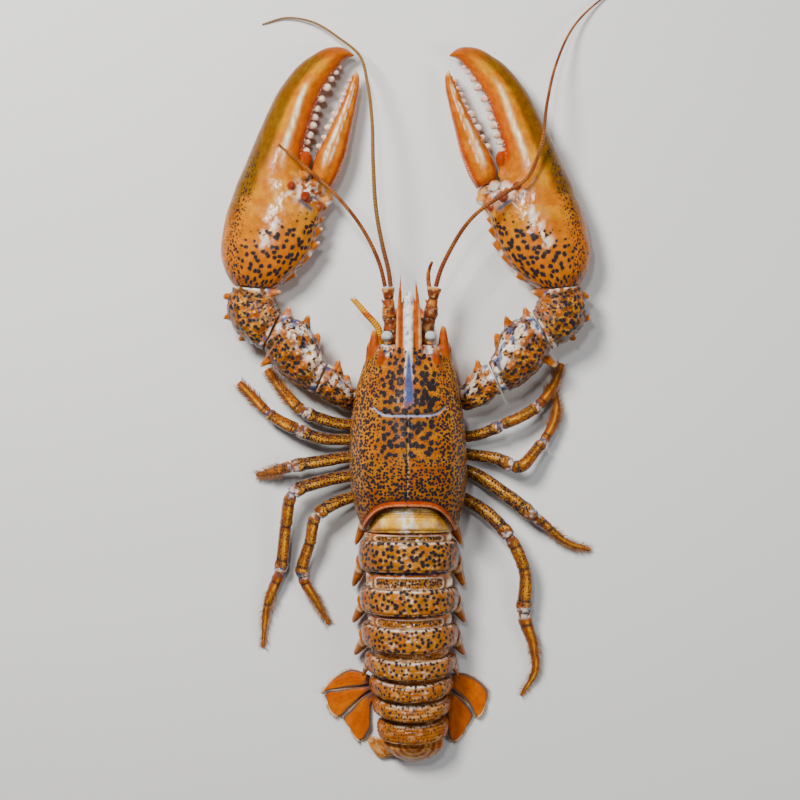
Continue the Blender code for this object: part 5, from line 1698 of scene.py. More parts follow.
    x, y, _ = points.T
    left_x = x if side == "left" else sided_x(x, y, side)
    spots_to = 115.0 + 0.34 * (left_x + 47.0)
    palm_spots = (1 - ramp(y - spots_to, -7, 9)) * (1 - 0.42 * ramp(across, 0.0, 0.85))
    spots = palm_spots * clear * (1 - np.clip(hinge_near * 1.5, 0, 1)) * (1 - under) * (1 - palm_highlight)
    spots = spots * (0.74 + 0.5 * rough(points, 12.0, 65))
    fine = hump(across, 0.72, 0.24) * (1 - ramp(place, 0.46, 0.6)) * 0.8 * (1 - under)
    flow = unrolled(place, across, up, CLAW_GIRTH, CLAW_LENGTH)
    coloured(mesh, colours, spots, fine * clear, flow)
    piece(f"claw_{side}_skin", mesh, CLAW, "claw_shell", f"claw_{side}")
    teeth(f"claw_{side}_teeth", ribbon, LARGE_TEETH["fixed"], 180, rng)


def finger(side, rng):
    """The moving finger and its teeth."""
    ribbon = Ribbon(sided(FINGER_ROWS, side))

    def crest(places, u):
        """A soft ridge along the top with a hollow beside it."""
        return 0.10 * hump(u, 0.15, 0.22) - 0.05 * hump(u, -0.35, 0.2)

    places = eased(FINGER_RINGS, 0.5)
    rings = ribbon.rings(places, FINGER_SIDES, 2.1, crest)
    middle = rings.mean(1, keepdims=True)
    fuller = 1 + 0.10 * (1 - ramp(places, 0.25, 0.55))
    growth = np.stack([fuller, np.ones(FINGER_RINGS), np.ones(FINGER_RINGS)], axis=-1)
    mesh = mesh_from(skin_of(middle + (rings - middle) * growth[:, None]))
    points = points_of(mesh)
    amount = (rough(points, 6.0, 71) - 0.5) * 0.35 + (noise(points, 1.2, 73) - 0.5) * 0.10
    points = pushed(mesh, amount)

    place, across, up = ribbon.locate(points)
    colours = dappled(points, FINGER_ORANGE, FINGER_GOLD, 4.0, 75)
    colours = mix(colours, FINGER_RED, ramp(-across, 0.42, 0.80) * 0.9)
    colours = mix(colours, FINGER_EDGE, ramp(across, 0.6, 0.9) * 0.8)
    # Painted highlights: a broad golden sheen and broken white streaks along the top.
    wide = 0.30 - 0.14 * ramp(place, 0.3, 0.8)
    colours = mix(colours, FINGER_HIGHLIGHT, hump(across, 0.20, wide) * ramp(place, 0.06, 0.2) * 0.5)
    highlight_line = hump(across, 0.30, 0.12) + 0.8 * hump(across, -0.08, 0.07)
    highlight_line = highlight_line * ramp(place, 0.10, 0.25) * (1 - ramp(place, 0.80, 0.92))
    highlight_breaks = in_flecks(points * (1.2, 0.22, 1), 1.3, 77, 0.30, 0.5)
    colours = mix(colours, WHITE, np.clip(highlight_line * highlight_breaks, 0, 1) * 0.9)
    dotted = hump(-across, 0.93, 0.04) * ramp(np.sin(points[:, 1] * 4.6), 0.0, 0.6)
    colours = mix(colours, PALE, dotted * 0.8)
    colours = mix(colours, PALE, ramp(place, 0.93, 0.99) * 0.8)
    colours = mix(colours, BROWN_RED, (1 - ramp(place, 0.01, 0.07)) * 0.7)
    colours = mix(colours, UNDER_FINGER, (1 - ramp(up, -0.8, -0.3)) * 0.6)
    coloured(mesh, colours)
    piece(f"claw_finger_{side}_skin", mesh, CLAW, "claw_shell", f"claw_finger_{side}", sharp=60)
    teeth(f"claw_finger_{side}_teeth", ribbon, LARGE_TEETH["moving"], 0, rng)


def arm_piece(name, side, rows, thorns, sheen_and_blue, seed):
    """A knobbly arm piece. Its fifth argument is how strong the painted pale highlight and the blue
    flecks on its inner top are.
    """
    ribbon = Ribbon(sided(rows, side))
    spines = [ribbon.thorn(*thorn) for thorn in thorns]
    shapes = [skin_of(ribbon.rings(eased(ARM_RINGS), ARM_SIDES, 2.2))]
    shapes += [spine_shape(*spine, blunt=0.65) for spine in spines]
    mesh = remeshed(shapes, ARM_VOXEL)
    points = points_of(mesh)
    place, across, up = ribbon.locate(points)
    inside_ends = ramp(place, 0.0, 0.08) * (1 - ramp(place, 0.92, 1.0))
    amount = (rough(points, 5.0, seed) - 0.50) * 2.4 * inside_ends
    amount += (noise(points, 2.3, seed + 3) - 0.5) * 0.8 * ramp(up, 0.0, 0.5) * inside_ends
    amount -= 0.7 * hump(place, 0.12, 0.03) + 0.7 * hump(place, 0.88, 0.03)
    points = pushed(mesh, amount)

    place, across, up = ribbon.locate(points)
    colours = dappled(points, ARM_ORANGE, ARM_GOLD, 5.0, seed + 5)
    colours = mix(colours, ARM_SHADE, in_patches(points, 3.6, seed + 6, 0.46, 0.60) * 0.75)
    sunlit = in_patches(points, 3.0, seed + 17, 0.52, 0.62) * ramp(up, 0.3, 0.9)
    colours = mix(colours, YELLOW, sunlit * 0.8)
    colours = mix(colours, BROWN, ramp(across, 0.4, 0.95) * 0.5)
    inner = 1 - ramp(across, -0.35, 0.15)
    # Painted highlight: pale patches over the inner top.
    pale = in_patches(points, 2.8, seed + 7, 0.43, 0.54) * ramp(up, 0.15, 0.6) * inner
    colours = mix(colours, WHITE, pale * sheen_and_blue)
    glints = in_flecks(points, 1.5, seed + 19, 0.62, 0.76) * ramp(up, 0.4, 0.8)
    colours = mix(colours, PALE, glints * 0.25)
    blue = in_flecks(points, 2.3, seed + 9, 0.62, 0.72) * ramp(up, 0.1, 0.5) * inner
    colours = mix(colours, BLUE, blue * sheen_and_blue)
    joint = np.maximum(1 - ramp(place, 0.02, 0.07), ramp(place, 0.93, 0.98))
    colours = mix(colours, ARM_JOINT, joint * 0.6)
    colours = mix(colours, WHITE, joint * in_patches(points, 2.0, seed + 11, 0.46, 0.56) * 0.8)
    colours = mix(colours, BLUE, joint * in_flecks(points, 2.4, seed + 13, 0.58, 0.68) * 0.85)
    dark_ring = hump(place, 0.115, 0.020) + hump(place, 0.885, 0.020)
    colours = mix(colours, NAVY * 1.5, np.clip(dark_ring, 0, 1) * 0.6)
    under = 1 - ramp(up, -0.85, -0.4)
    colours = mix(colours, UNDER_ARM, under * 0.7)
    colours, clear = paint_thorns(points, colours, spines, ARM_THORN, PALE, 0.76)
    spots = clear * (1 - joint) * (1 - under) * (1 - pale * sheen_and_blue)
    spots = spots * (0.78 + 0.4 * rough(points, 8.0, seed + 15))
    flow = unrolled(place, across, up, ARM_GIRTH, ARM_LENGTH)
    coloured(mesh, colours, spots, spots * 0.6, flow)
    piece(f"{name}_{side}_skin", mesh, ARM, "claw_shell", f"{name}_{side}")


# Legs

# x, y, z and radius along each leg, and the shares of its length at which its pieces meet
LEGS = {
    "leg_left_1": (
        (
            (-HIP_X, 5.0, 7.0, 2.9),
            (-32.7, 2.6, 8.0, 3.1),
            (-46.0, 5.6, 11.0, 3.2),
            (-56.8, 10.1, 12.4, 3.4),
            (-66.0, 19.0, 8.6, 2.9),
            (-75.8, 31.8, 2.8, 2.2),
        ),
        (0.58,),
    ),
    "leg_left_2": (
        (
            (-HIP_X, -3.6, 7.0, 2.9),
            (-32.7, -5.4, 8.2, 3.1),
            (-48.0, -4.4, 11.6, 3.3),
            (-59.4, 0.0, 12.4, 3.5),
            (-74.6, 8.4, 8.0, 3.0),
            (-84.0, 18.0, 4.6, 2.4),
            (-91.0, 25.0, 2.4, 1.7),
        ),
        (0.52, 0.73),
    ),
    "leg_left_3": (
        (
            (-HIP_X, -13.0, 7.0, 2.9),
            (-32.7, -14.8, 8.4, 3.2),
            (-48.0, -17.2, 11.4, 3.5),
            (-62.4, -19.6, 11.0, 3.4),
            (-73.0, -22.6, 6.0, 2.4),
            (-81.6, -24.4, 2.2, 0.9),
        ),
        (0.70,),
    ),
    "leg_left_4": (
        (
            (-HIP_X, -21.6, 7.0, 3.0),
            (-31.1, -24.7, 8.6, 3.3),
            (-47.0, -27.8, 12.6, 3.6),
            (-61.2, -33.6, 14.6, 3.6),
            (-65.2, -49.7, 11.0, 3.2),
            (-68.6, -75.2, 6.0, 3.4),
            (-75.7, -94.0, 3.6, 2.2),
            (-78.4, -117.0, 1.2, 0.7),
        ),
        (0.36, 0.68),
    ),
    "leg_left_5": (
        (
            (-HIP_X, -31.0, 7.0, 3.0),
            (-29.8, -36.0, 8.4, 3.3),
            (-39.6, -39.4, 12.0, 3.6),
            (-48.8, -45.8, 13.6, 3.5),
            (-52.4, -59.6, 11.0, 3.1),
            (-56.8, -77.4, 6.4, 3.4),
            (-49.6, -91.8, 3.6, 2.0),
            (-42.8, -104.6, 1.1, 0.6),
        ),
        (0.36, 0.70),
    ),
    "leg_right_1": (
        (
            (HIP_X, 1.0, 7.0, 2.9),
            (30.4, -3.4, 8.0, 3.0),
            (52.1, 3.7, 12.0, 3.2),
            (69.4, 13.2, 9.0, 3.1),
            (77.6, 23.8, 5.0, 2.5),
            (82.2, 35.2, 2.4, 1.6),
        ),
        (0.42, 0.68),
    ),
    "leg_right_2": (
        (
            (HIP_X, -8.6, 7.0, 2.9),
            (30.4, -12.7, 8.2, 3.1),
            (46.0, -15.0, 11.6, 3.4),
            (59.6, -19.2, 12.6, 3.6),
            (67.8, -11.2, 9.4, 3.1),
            (74.8, -2.0, 6.6, 2.8),
            (79.2, 9.0, 4.2, 2.4),
            (78.8, 20.8, 2.0, 1.2),
        ),
        (0.44, 0.68),
    ),
    "leg_right_3": (
        (
            (HIP_X, -18.6, 7.0, 3.0),
            (33.0, -22.4, 8.6, 3.4),
            (50.6, -33.4, 12.6, 3.8),
            (64.8, -44.4, 12.4, 3.8),
            (73.8, -51.4, 8.4, 2.6),
            (83.9, -59.9, 4.6, 2.0),
            (97.4, -64.5, 1.6, 1.2),
        ),
        (0.62,),
    ),
    "leg_right_4": (
        (
            (HIP_X, -31.0, 7.0, 3.0),
            (30.7, -37.2, 8.6, 3.4),
            (42.4, -44.6, 12.4, 3.7),
            (53.2, -56.2, 14.4, 3.6),
            (62.0, -75.1, 11.0, 3.4),
            (62.4, -100.7, 6.0, 4.0),
            (67.0, -116.0, 4.4, 2.6),
            (67.8, -130.0, 2.6, 2.0),
            (60.4, -142.8, 1.0, 0.6),
        ),
        (0.34, 0.65),
    ),
}
LEG_PIECE_NAMES = {2: ("upper", "lower"), 3: ("upper", "shin", "tip")}
# share of the way along a piece where one more joint shows
MIDDLE_JOINTS = {
    "leg_left_4_shin": 0.42,
    "leg_left_5_shin": 0.48,
    "leg_right_4_shin": 0.44,
    "leg_left_4_tip": 0.45,
    "leg_right_3_lower": 0.30,
    "leg_left_3_lower": 0.35,
}
LEG_GIRTH = 20.0  # millimetres of skin round a leg
LEG_GOLD = tint(0.560, 0.200, 0.004)
LEG_ORANGE = tint(0.440, 0.110, 0.002)
LEG_END = tint(0.360, 0.062, 0.006)
LEG_SHINE = tint(0.720, 0.330, 0.012)
LEG_TIP = tint(0.560, 0.110, 0.004)
KNUCKLE_BROWN = tint(0.220, 0.060, 0.015)
BRISTLES = 200


def leg(name, rng):
    """A leg's shell pieces. Returns the hairs of the last one."""
    rows, cuts = LEGS[name]
    table = np.array(rows, float)
    length = np.linalg.norm(np.diff(table[:, :2], axis=0), axis=1).sum()
    ends = (0.0, *cuts, 1.0)
    for i, part in enumerate(LEG_PIECE_NAMES[len(cuts) + 1]):
        start = ends[i] + (GAP / 2 / length if i else 0.0)
        end = ends[i + 1] - (GAP / 2 / length if i < len(cuts) else 0.0)
        leg_piece(f"{name}_{part}", rows, start, end, length, i, i == len(cuts))
    return leg_hairs(rows, start, end, rng)


def leg_piece(name, rows, start, end, leg_length, number, last):
    """A piece from start to end of the leg's length, with ridges, rims and stained joints."""
    middle_joint = MIDDLE_JOINTS.get(name)

    def radius_at(places, turn):
        share = (places - start) / (end - start)
        scale = 0.76 + 0.24 * ramp(share, 0.0, 0.11) - 0.07 * hump(share, 0.145, 0.018)
        if not last:
            scale = scale + 0.13 * hump(share, 0.92, 0.05) - 0.06 * hump(share, 0.855, 0.015)
        if middle_joint:
            collar = hump(share, middle_joint - 0.04, 0.03)
            scale = scale + 0.08 * (collar - 1.4 * hump(share, middle_joint, 0.014))
        ridges = 0.05 * np.cos(3 * turn) + 0.025 * np.cos(7 * turn + 3 * share)
        return scale * (1 + ridges) * 0.97

    ring_shares = eased(LEG_RINGS, 0.4)
    places = start + (end - start) * ring_shares
    mesh = mesh_from(skin_of(limb(rows, places, LEG_SIDES, radius_at)))
    share = np.concatenate([np.repeat(ring_shares, LEG_SIDES), (0.0, 1.0)])
    turn = np.concatenate([np.tile(np.arange(LEG_SIDES) / LEG_SIDES, LEG_RINGS), (0.0, 0.0)])
    points = points_of(mesh)
    amount = (rough(points, 3.0, 80 + number) - 0.5) * 0.42
    points = pushed(mesh, amount + (noise(points, 1.0, 83) - 0.5) * 0.12)

    seed = 90 + 7 * number
    drop = number / 2
    _, _, centre_z, radius = smooth_rows(rows, start + (end - start) * share).T
    up = (points[:, 2] - centre_z) / radius
    along = share * (end - start) * leg_length
    flow = np.stack([turn * LEG_GIRTH, along, np.zeros(len(share))], axis=-1)
    colours = dappled(points, LEG_GOLD, LEG_ORANGE, 3.5, seed, 0.4, 0.6)
    colours = mix(colours, LEG_END, drop * 0.85)
    streaks = in_flecks(flow * (1.0, 0.12, 1.0), 1.1, seed + 6, 0.50, 0.66)
    colours = mix(colours, BROWN, streaks * (0.35 + 0.3 * drop))
    shine = hump(up, 0.98, 0.06) * in_flecks(flow * (1.0, 0.18, 1.0), 1.4, seed + 8, 0.3, 0.5)
    colours = mix(colours, LEG_SHINE, shine * 0.85)
    # Painted shade: darker on the underside.
    colours = mix(colours, BROWN * 0.8, (1 - ramp(up, -0.3, 0.45)) * 0.75)
    rims = hump(share, 0.145, 0.02)
    if not last:
        rims = rims + hump(share, 0.85, 0.02)
    if middle_joint:
        rims = rims + hump(share, middle_joint, 0.018)
    colours = mix(colours, NAVY * 1.6, np.clip(rims, 0, 1) * 0.85)
    knuckle = np.zeros(len(points))
    if not last:
        knuckle = knuckle + ramp(share, 0.91, 0.94)
    if number > 0:
        knuckle = knuckle + 1 - ramp(share, 0.04, 0.08)
    colours = mix(colours, KNUCKLE_BROWN, knuckle * 0.8)
    colours = mix(colours, WHITE, knuckle * in_patches(points, 1.6, seed + 2, 0.50, 0.60) * 0.55)
    blue = knuckle * in_flecks(points, 1.5, seed + 4, 0.60, 0.72)
    colours = mix(colours, BLUE * 0.7, blue * 0.8)
    if last:
        colours = mix(colours, LEG_TIP, ramp(share, 0.85, 1.0) * 0.6)
    speckle = (1 - knuckle) * (1.0 - 0.5 * drop) * (1 - 0.35 * shine)
    coloured(mesh, colours, speckle * 0.75, speckle * 0.95, flow)
    piece(f"{name}_skin", mesh, LEG, "leg_shell", name, sharp=55)


def leg_hairs(rows, start, end, rng):
    """Short bristles that lie along the end of a leg."""
    hairs = []
    for share in rng.uniform(0.28, 0.99, BRISTLES):
        place = start + (end - start) * share
        before, row, after = smooth_rows(rows, [place - 0.01, place, min(place + 0.01, 1.0)])
        ahead = (after - before)[:3]
        axis = ahead / np.linalg.norm(ahead)
        across = np.cross(axis, (0, 0, 1.0))
        across /= np.linalg.norm(across)
        turn = rng.choice([0.0, math.pi]) + rng.normal(0, 0.55)
        out = across * math.cos(turn) + np.array([0, 0, 1.0]) * abs(math.sin(turn))
        root = row[:3] + out * row[3] * 0.9
        direction = out + axis * rng.uniform(0.5, 1.3)
        hairs.append(hair_shape(root, direction, rng.uniform(1.6, 3.6), 0.12, axis * 0.15))
    return hairs


# Head parts and antennae

# x, y, z and radius along each part
ANTENNA_BASES = {
    "antenna_base_left": (
        (-8.8, FACE_Y, 22.0, 4.0),
        (-9.2, 50.0, 22.8, 4.2),
        (-9.6, 57.0, 23.8, 3.4),
        (-10.4, 62.0, 24.6, 3.6),
        (-10.6, 69.0, 25.4, 2.7),
        (-10.9, 75.2, 26.0, 3.3),
    ),
    "antenna_base_right": (
        (8.8, FACE_Y, 22.0, 4.0),
        (9.2, 50.0, 22.8, 4.2),
        (10.4, 57.0, 23.8, 3.4),
        (11.6, 62.0, 24.6, 3.6),
        (12.8, 69.0, 25.4, 2.7),
        (13.9, 75.2, 26.0, 3.3),
    ),
}
WHIPS = {
    "antenna_left_long": (
        (-9.5, 75.8, 26.2, 1.30),
        (-10.7, 84.3, 28.6, 1.25),
        (-13.3, 94.9, 31.6, 1.20),
        (-17.0, 114.7, 35.4, 1.15),
        (-18.6, 138.9, 36.0, 1.05),
        (-19.3, 162.9, 32.0, 0.95),
        (-21.7, 182.9, 25.0, 0.88),
        (-25.9, 198.5, 18.0, 0.80),
        (-36.9, 209.0, 10.6, 0.70),
        (-52.6, 219.0, 4.6, 0.62),
        (-66.0, 221.2, 2.0, 0.55),
        (-78.8, 217.9, 0.7, 0.45),
    ),
    "antenna_left_short": (
        (-12.5, 75.8, 26.2, 1.15),
        (-14.6, 85.0, 28.8, 1.10),
        (-22.2, 102.3, 32.4, 1.05),
        (-36.9, 122.1, 33.0, 0.95),
        (-53.7, 137.8, 29.6, 0.80),
        (-68.8, 150.9, 26.0, 0.55),
    ),
    "antenna_right_long": (
        (14.3, 75.8, 26.2, 1.30),
        (16.8, 84.3, 28.6, 1.25),
        (20.8, 92.8, 30.6, 1.20),
        (33.3, 111.6, 33.2, 1.10),
        (51.1, 124.7, 32.6, 1.05),
        (61.5, 131.9, 30.8, 1.00),
        (69.5, 149.3, 29.0, 0.95),
        (73.2, 173.4, 25.0, 0.88),
        (78.4, 194.4, 16.0, 0.78),
        (89.9, 217.9, 6.0, 0.66),
        (101.5, 229.6, 2.4, 0.56),
        (111.0, 236.4, 0.7, 0.45),
    ),
}
FEELER_LEFT = (
    (-14.4, FACE_Y, 20.6, 1.5),
    (-16.0, 53.4, 23.0, 1.75),
    (-23.4, 62.4, 26.0, 1.7),
    (-30.2, 70.3, 28.0, 1.4),
)
FEELER_RIGHT = (
    (11.6, 71.0, 25.6, 1.5),
    (10.4, 78.0, 26.8, 1.2),
    (10.4, 83.0, 28.2, 1.05),
    (12.2, 88.6, 30.2, 0.8),
)
MOUTHPART = (
    (5.0, FACE_Y, 12.6, 2.6),
    (7.2, 54.0, 9.6, 2.7),
    (6.8, 61.0, 6.4, 2.3),
    (3.6, 67.0, 4.0, 1.1),
)
RIB_SPACING = 1.15
WHIP_BAND_PITCH = 1.7
FEELER_RIBS = 22
WHIP_BROWN = tint(0.260, 0.058, 0.006)
WHIP_TAN = tint(0.420, 0.130, 0.016)
WHIP_DULL = tint(0.270, 0.160, 0.040)
WHIP_ROOT = tint(0.309, 0.056, 0.018)
WHIP_GROOVE = tint(0.094, 0.031, 0.013)
BASE_RUST = tint(0.400, 0.075, 0.008)
BASE_DARK = tint(0.150, 0.030, 0.010)
BASE_HIGHLIGHT = tint(0.640, 0.230, 0.020)
BASE_RING = tint(0.033, 0.011, 0.010)
FEELER_GOLD = tint(0.884, 0.391, 0.001)
FEELER_RUST = tint(0.721, 0.141, 0.002)
FEELER_GROOVE = tint(0.065, 0.027, 0.013)
EYE_RADIUS = 3.08
EYE_DARK = tint(0.060, 0.062, 0.070)
EYE_STALK = tint(0.884, 0.327, 0.042)
EYE_RIM = tint(0.115, 0.050, 0.027)
MOUTH_RED = tint(0.588, 0.076, 0.011)
MOUTH_ORANGE = tint(0.884, 0.260, 0.008)
BELLY_BROWN = tint(0.420, 0.130, 0.010)
BELLY_TAN = tint(0.520, 0.220, 0.030)
BELLY_SEAM = tint(0.299, 0.091, 0.029)


def path_length(rows):
    """The length of the line through the rows' first three values."""
    table = np.array(rows)
    return np.linalg.norm(np.diff(table[:, :3], axis=0), axis=1).sum()


def whip(name, rows):
    """A long ringed feeler: narrow grooves between rounded rings."""
    ribs = int(path_length(rows) / RIB_SPACING)
    places = even(ribs * 5 + 1)
    profile = np.tile((0.86, 0.99, 1.05, 1.05, 0.99), ribs + 1)[: len(places)]
    rings = limb(rows, places, WHIP_SIDES, lambda at, turn: profile[:, None])
    mesh = mesh_from(skin_of(rings))
    share = np.concatenate([np.repeat(places, WHIP_SIDES), (0.0, 1.0)])
    width = np.concatenate([np.repeat(profile, WHIP_SIDES), (1.0, 1.0)])
    points = points_of(mesh)
    dull = 0.8 if name == "antenna_left_long" else 0.0
    colours = mix(WHIP_BROWN, WHIP_TAN, in_flecks(points, 5.0, 3, 0.3, 0.7))
    colours = mix(colours, WHIP_DULL, dull)
    colours = mix(colours, WHIP_ROOT, (1 - ramp(share, 0.02, 0.22)) * 0.7)
    colours = mix(colours, WHIP_GROOVE, ramp(width, 0.96, 0.87) * 0.75)
    bands = np.sin(share * path_length(rows) * 2 * math.pi / WHIP_BAND_PITCH)
    colours = mix(colours, BROWN * 0.4, ramp(bands, 0.0, 0.6) * 0.6)
    coloured(mesh, colours)
    piece(name + "_skin", mesh, HORN, "feeler", name)


def antenna_base(name, rows):
    """The jointed foot of an antenna, with swollen segments."""

    def radius_at(places, turn):
        waist = hump(places, 0.18, 0.02) + hump(places, 0.46, 0.02) + hump(places, 0.80, 0.02)
        collar = hump(places, 0.14, 0.04) + hump(places, 0.42, 0.04) + hump(places, 0.96, 0.04)
        return 1 - 0.14 * waist + 0.05 * collar + 0.03 * np.cos(4 * turn)

    shapes = [skin_of(limb(rows, even(110), 40, radius_at))]
    if name == "antenna_base_right":
        ribs = int(path_length(FEELER_RIGHT) / RIB_SPACING)
        shapes.append(skin_of(limb(FEELER_RIGHT, even(ribs * 4 + 1), 14)))
    for share, side, length in ((0.40, -1, 2.6), (0.44, 1, 2.8), (0.72, -1, 2.2)):
        row = smooth_rows(rows, [share])[0]
        base = row[:3] + np.array([side * row[3] * 0.8, 0, 0.6])
        shapes.append(spine_shape(base, base + np.array([side * length * 0.7, length, 0.3]), 0.9))
    mesh = mesh_from(joined(shapes))
    points = points_of(mesh)
    points = pushed(mesh, (rough(points, 2.4, 101) - 0.5) * 0.5)
    along = points[:, 1]
    on_top = ramp(points[:, 2], 23, 27)
    colours = dappled(points, BASE_RUST, BASE_DARK, 3.0, 103, 0.36, 0.64)
    # Painted highlights: gold flecks on the top.
    colours = mix(colours, BASE_HIGHLIGHT, in_flecks(points, 1.8, 107, 0.60, 0.75) * on_top * 0.7)
    rings = hump(along, 52.0, 0.7) + hump(along, 59.0, 0.8) + hump(along, 69.4, 0.7)
    colours = mix(colours, BASE_RING, np.clip(rings, 0, 1) * 0.75)
    colours = mix(colours, PALE, hump(along, 75.0, 0.9) * ramp(points[:, 2], 25, 28) * 0.6)
    # Painted highlights: pale patches on the top.
    colours = mix(colours, PALE, in_patches(points, 1.6, 105, 0.56, 0.7) * on_top * 0.5)
    coloured(mesh, colours)
    piece(name + "_skin", mesh, HORN, "feeler", name, sharp=60)


def feeler_left():
    """The short ringed feeler stub beside the left eye."""
    places = even(FEELER_RIBS * 4 + 1)
    profile = np.tile((0.90, 1.0, 1.04, 1.0), FEELER_RIBS + 1)[: len(places)]
    rings = limb(FEELER_LEFT, places, FEELER_SIDES, lambda at, turn: profile[:, None])
    mesh = mesh_from(skin_of(rings))
    points = points_of(mesh)
    width = np.concatenate([np.repeat(profile, FEELER_SIDES), (1.0, 1.0)])
    colours = mix(FEELER_GOLD, FEELER_RUST, in_flecks(points, 3.0, 3, 0.3, 0.7))
    colours = mix(colours, FEELER_GROOVE, ramp(width, 0.97, 0.91) * 0.8)
    colours = mix(colours, WHITE, ramp(points[:, 1], 68.6, 69.8) * 0.7)
    coloured(mesh, colours)
    piece("feeler_left_skin", mesh, HORN, "feeler", "feeler_left")


def eye(side):
    """An eye's globe on its stalk. side is -1 on the left and 1 on the right."""
    centre = (side * 11.4, 49.1, 35.2)
    stalk = (
        (side * 10.6, FACE_Y + 0.5, 33.4, 1.8),
        (side * 11.0, 46.6, 34.2, 2.0),
        (*centre, 1.6),
    )
    globe = ball(centre, EYE_RADIUS, 26, 40)
    mesh = mesh_from(joined([globe, skin_of(limb(stalk, even(12), 24))]))
    points = points_of(mesh)
    away = np.linalg.norm(points - centre, axis=1)
    # Painted shading: the globe dark below and behind, pearly towards the top and front.
    colours = mix(EYE_DARK, PEARL * 0.8, ramp(points[:, 1] + points[:, 2], 81.5, 87.0))
    colours = mix(colours, EYE_STALK, ramp(away, 3.1, 3.3) * 0.9)
    rim = hump(points[:, 1], 47.4, 0.8) * ramp(away, 2.6, 3.0)
    colours = mix(colours, EYE_RIM, rim * 0.8)
    coloured(mesh, colours)
    name = "eye_left" if side < 0 else "eye_right"
    piece(name + "_skin", mesh, EYE, "eye", name)


def mouthparts():
    """A pair of curved mouth legs on a bar."""

    def radius_at(places, turn):
        return 1 + 0.05 * np.cos(3 * turn) - 0.12 * hump(places, 0.5, 0.02)

    left = [(-x, y, z, radius) for x, y, z, radius in MOUTHPART]
    shapes = [skin_of(limb(rows, even(70), 28, radius_at)) for rows in (MOUTHPART, left)]
    shapes.append(skin_of(limb([(-5.0, 47.6, 12.0, 1.8), (5.0, 47.6, 12.0, 1.8)], even(12), 20)))
    mesh = mesh_from(joined(shapes))
    points = points_of(mesh)
    points = pushed(mesh, (rough(points, 2.0, 111) - 0.5) * 0.4)
    colours = dappled(points, MOUTH_RED, MOUTH_ORANGE, 3.0, 113, 0.4, 0.6)
    coloured(mesh, colours)
    piece("mouthparts_skin", mesh, HORN, "feeler", "mouthparts", sharp=60)


STERNUM_ROWS = ((41.0, 6.0), (28.0, 10.0), (6.0, 14.5), (-37.4, 14.5))  # y and half width
STERNUM_HALF_HEIGHT = 5.85
STERNUM_SEAMS = (-31.0, -21.6, -13.0, -3.6, 5.0, 17.0, 28.0)


def sternum():
    """The belly plate: a flat keel with a seam between each pair of legs."""
    rows = [(y, 0.0, y, half) for y, half in STERNUM_ROWS]
    table = smooth_rows(rows, eased(110, 0.1))[:, 2:]
    u, v = oval(STERNUM_SIDES, 7.0, 7.0)
    y, half = table[:, 0:1], table[:, 1:2]
    height = STERNUM_HALF_HEIGHT * (1 + v)
    mesh = mesh_from(skin_of(np.stack(np.broadcast_arrays(half * u, y, height), axis=-1)))
    points = points_of(mesh)
    seams = sum(hump(points[:, 1], at, 0.7) for at in STERNUM_SEAMS)
    seams = seams + hump(points[:, 0], 0.0, 0.8)
    from_middle = np.abs(points[:, 2] - STERNUM_HALF_HEIGHT)
    inward = np.clip(seams, 0, 1) * ramp(from_middle, 4.0, 5.6)
    points = pushed(mesh, -0.5 * inward)
    colours = dappled(points, BELLY_BROWN, BELLY_TAN, 4.0, 121)
    colours = mix(colours, BELLY_SEAM, inward * 0.7)
    coloured(mesh, colours)
    piece("sternum_skin", mesh, BELLY, "belly", "sternum", sharp=60)


# darkest and palest hair
BRISTLE_COLOURS = (tint(0.260, 0.080, 0.016), tint(0.560, 0.240, 0.060))
FRINGE_COLOURS = (tint(0.420, 0.170, 0.040), tint(0.800, 0.560, 0.260))


def hairs_piece(name, hairs, slot, colours):
    """All the hairs of one kind as a piece, between two colours."""
    mesh = mesh_from(joined(hairs))
    points = points_of(mesh)
    coloured(mesh, mix(*colours, noise(points, 4.0, 3)))
    piece(name, mesh, HAIR, slot)


# Stage, in metres

PHOTO_CENTRE = (-4.6 * MM, 15.9 * MM)
PHOTO_WIDTH = 424.0 * MM
MIDDLE_Z = 20.0 * MM
FLOOR_REACH = 3.0
FLOOR_GREY = (0.70, 0.70, 0.69, 1.0)
WORLD_COLOUR = (0.9, 0.93, 1.0, 1.0)
WORLD_STRENGTH = 0.11
LIGHT_AIM = (0.0, 0.02, 0.02)


def light(name, place, size, power, colour=(1.0, 1.0, 1.0), in_gloss=True):
    data = bpy.data.lights.new(name, "AREA")
    data.shape = "RECTANGLE"
    data.size, data.size_y = size
    data.energy = power
    data.color = colour
    obj = bpy.data.objects.new(name, data)
    obj.location = place
    obj.rotation_euler = (Vector(LIGHT_AIM) - Vector(place)).to_track_quat("-Z", "Y").to_euler()
    obj.visible_glossy = in_gloss
    bpy.context.scene.collection.objects.link(obj)


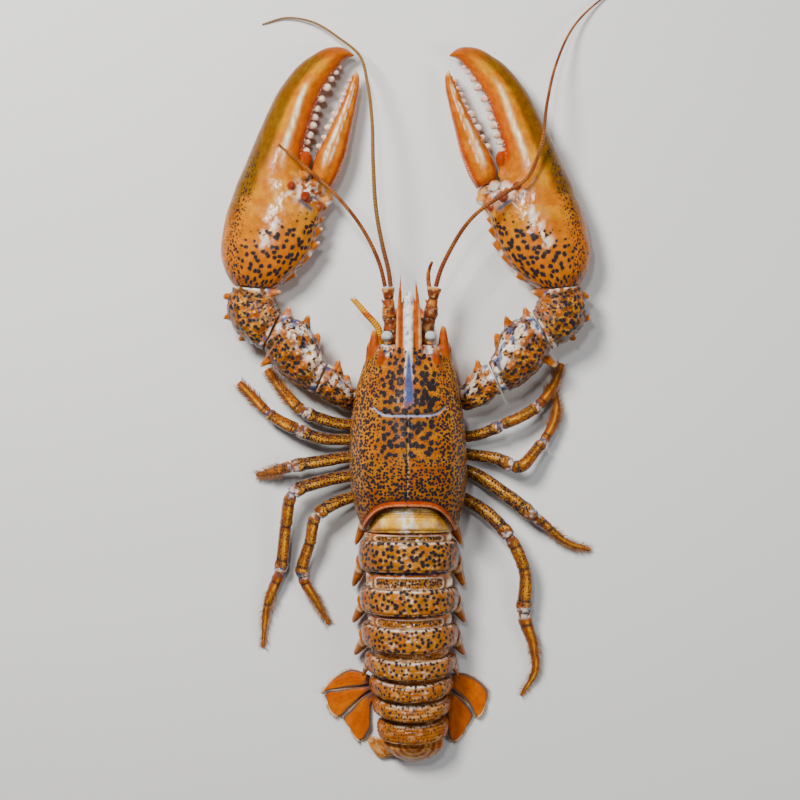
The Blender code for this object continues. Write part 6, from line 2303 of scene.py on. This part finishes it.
def stage():
    """A plain pale floor, soft studio light and a camera straight above, as in the photograph."""
    floor_mesh = bpy.data.meshes.new("floor")
    signs = ((-1, -1), (1, -1), (1, 1), (-1, 1))
    corners = [(x * FLOOR_REACH, y * FLOOR_REACH, 0) for x, y in signs]
    floor_mesh.from_pydata(corners, [], [(0, 1, 2, 3)])
    floor = bpy.data.objects.new("floor", floor_mesh)
    n = Nodes("floor")
    n.shader.inputs["Base Color"].default_value = FLOOR_GREY
    n.shader.inputs["Roughness"].default_value = 0.8
    floor_mesh.materials.append(n.material)
    bpy.context.scene.collection.objects.link(floor)

    world = bpy.data.worlds.new("studio")
    world.use_nodes = True
    background = world.node_tree.nodes["Background"]
    background.inputs["Color"].default_value = WORLD_COLOUR
    background.inputs["Strength"].default_value = WORLD_STRENGTH
    bpy.context.scene.world = world
    # The large lights shape the forms; only the small one overhead shows as highlights in the gloss.
    light("key", (-0.42, 0.52, 0.80), (0.28, 0.28), 18.4, (1.0, 0.98, 0.94), in_gloss=False)
    light("fill", (0.70, -0.10, 0.70), (0.30, 0.40), 3.2, (0.97, 0.98, 1.0), in_gloss=False)
    light("overhead", (-0.12, 0.34, 1.0), (0.06, 0.12), 2.6)

    camera = bpy.data.cameras.new("camera")
    camera.sensor_width = 36.0
    camera.lens = 110.0
    distance = PHOTO_WIDTH * camera.lens / camera.sensor_width
    obj = bpy.data.objects.new("camera", camera)
    obj.location = (*PHOTO_CENTRE, MIDDLE_Z + distance)
    obj.rotation_euler = (0.0, 0.0, 0.0)
    bpy.context.scene.collection.objects.link(obj)
    bpy.context.scene.camera = obj


def main():
    rng = np.random.default_rng(SEED)
    stage()
    carapace()
    sternum()
    for side in (-1, 1):
        eye(side)
    first_tail_segment()
    for row in TAIL_SEGMENTS:
        tail_segment(*row)
    telson()
    fan_hairs = []
    for name, rows in FAN_PLATES.items():
        fan_hairs += fan_plate(name, rows, rng)
    hairs_piece("fan_fringe", fan_hairs, "tail_fan", FRINGE_COLOURS)
    for side in ("left", "right"):
        claw(side, rng)
        finger(side, rng)
        arm_piece("wrist", side, WRIST_ROWS, WRIST_THORNS, 0.12, 130)
        arm_piece("upper_arm", side, UPPER_ARM_ROWS, UPPER_ARM_THORNS, 0.8, 150)
        arm_piece("arm_base", side, ARM_BASE_ROWS, ARM_BASE_THORNS, 0.7, 170)
    bristles = []
    for name in LEGS:
        bristles += leg(name, rng)
    hairs_piece("leg_bristles", bristles, "leg_shell", BRISTLE_COLOURS)
    for name, rows in ANTENNA_BASES.items():
        antenna_base(name, rows)
    for name, rows in WHIPS.items():
        whip(name, rows)
    feeler_left()
    mouthparts()


main()
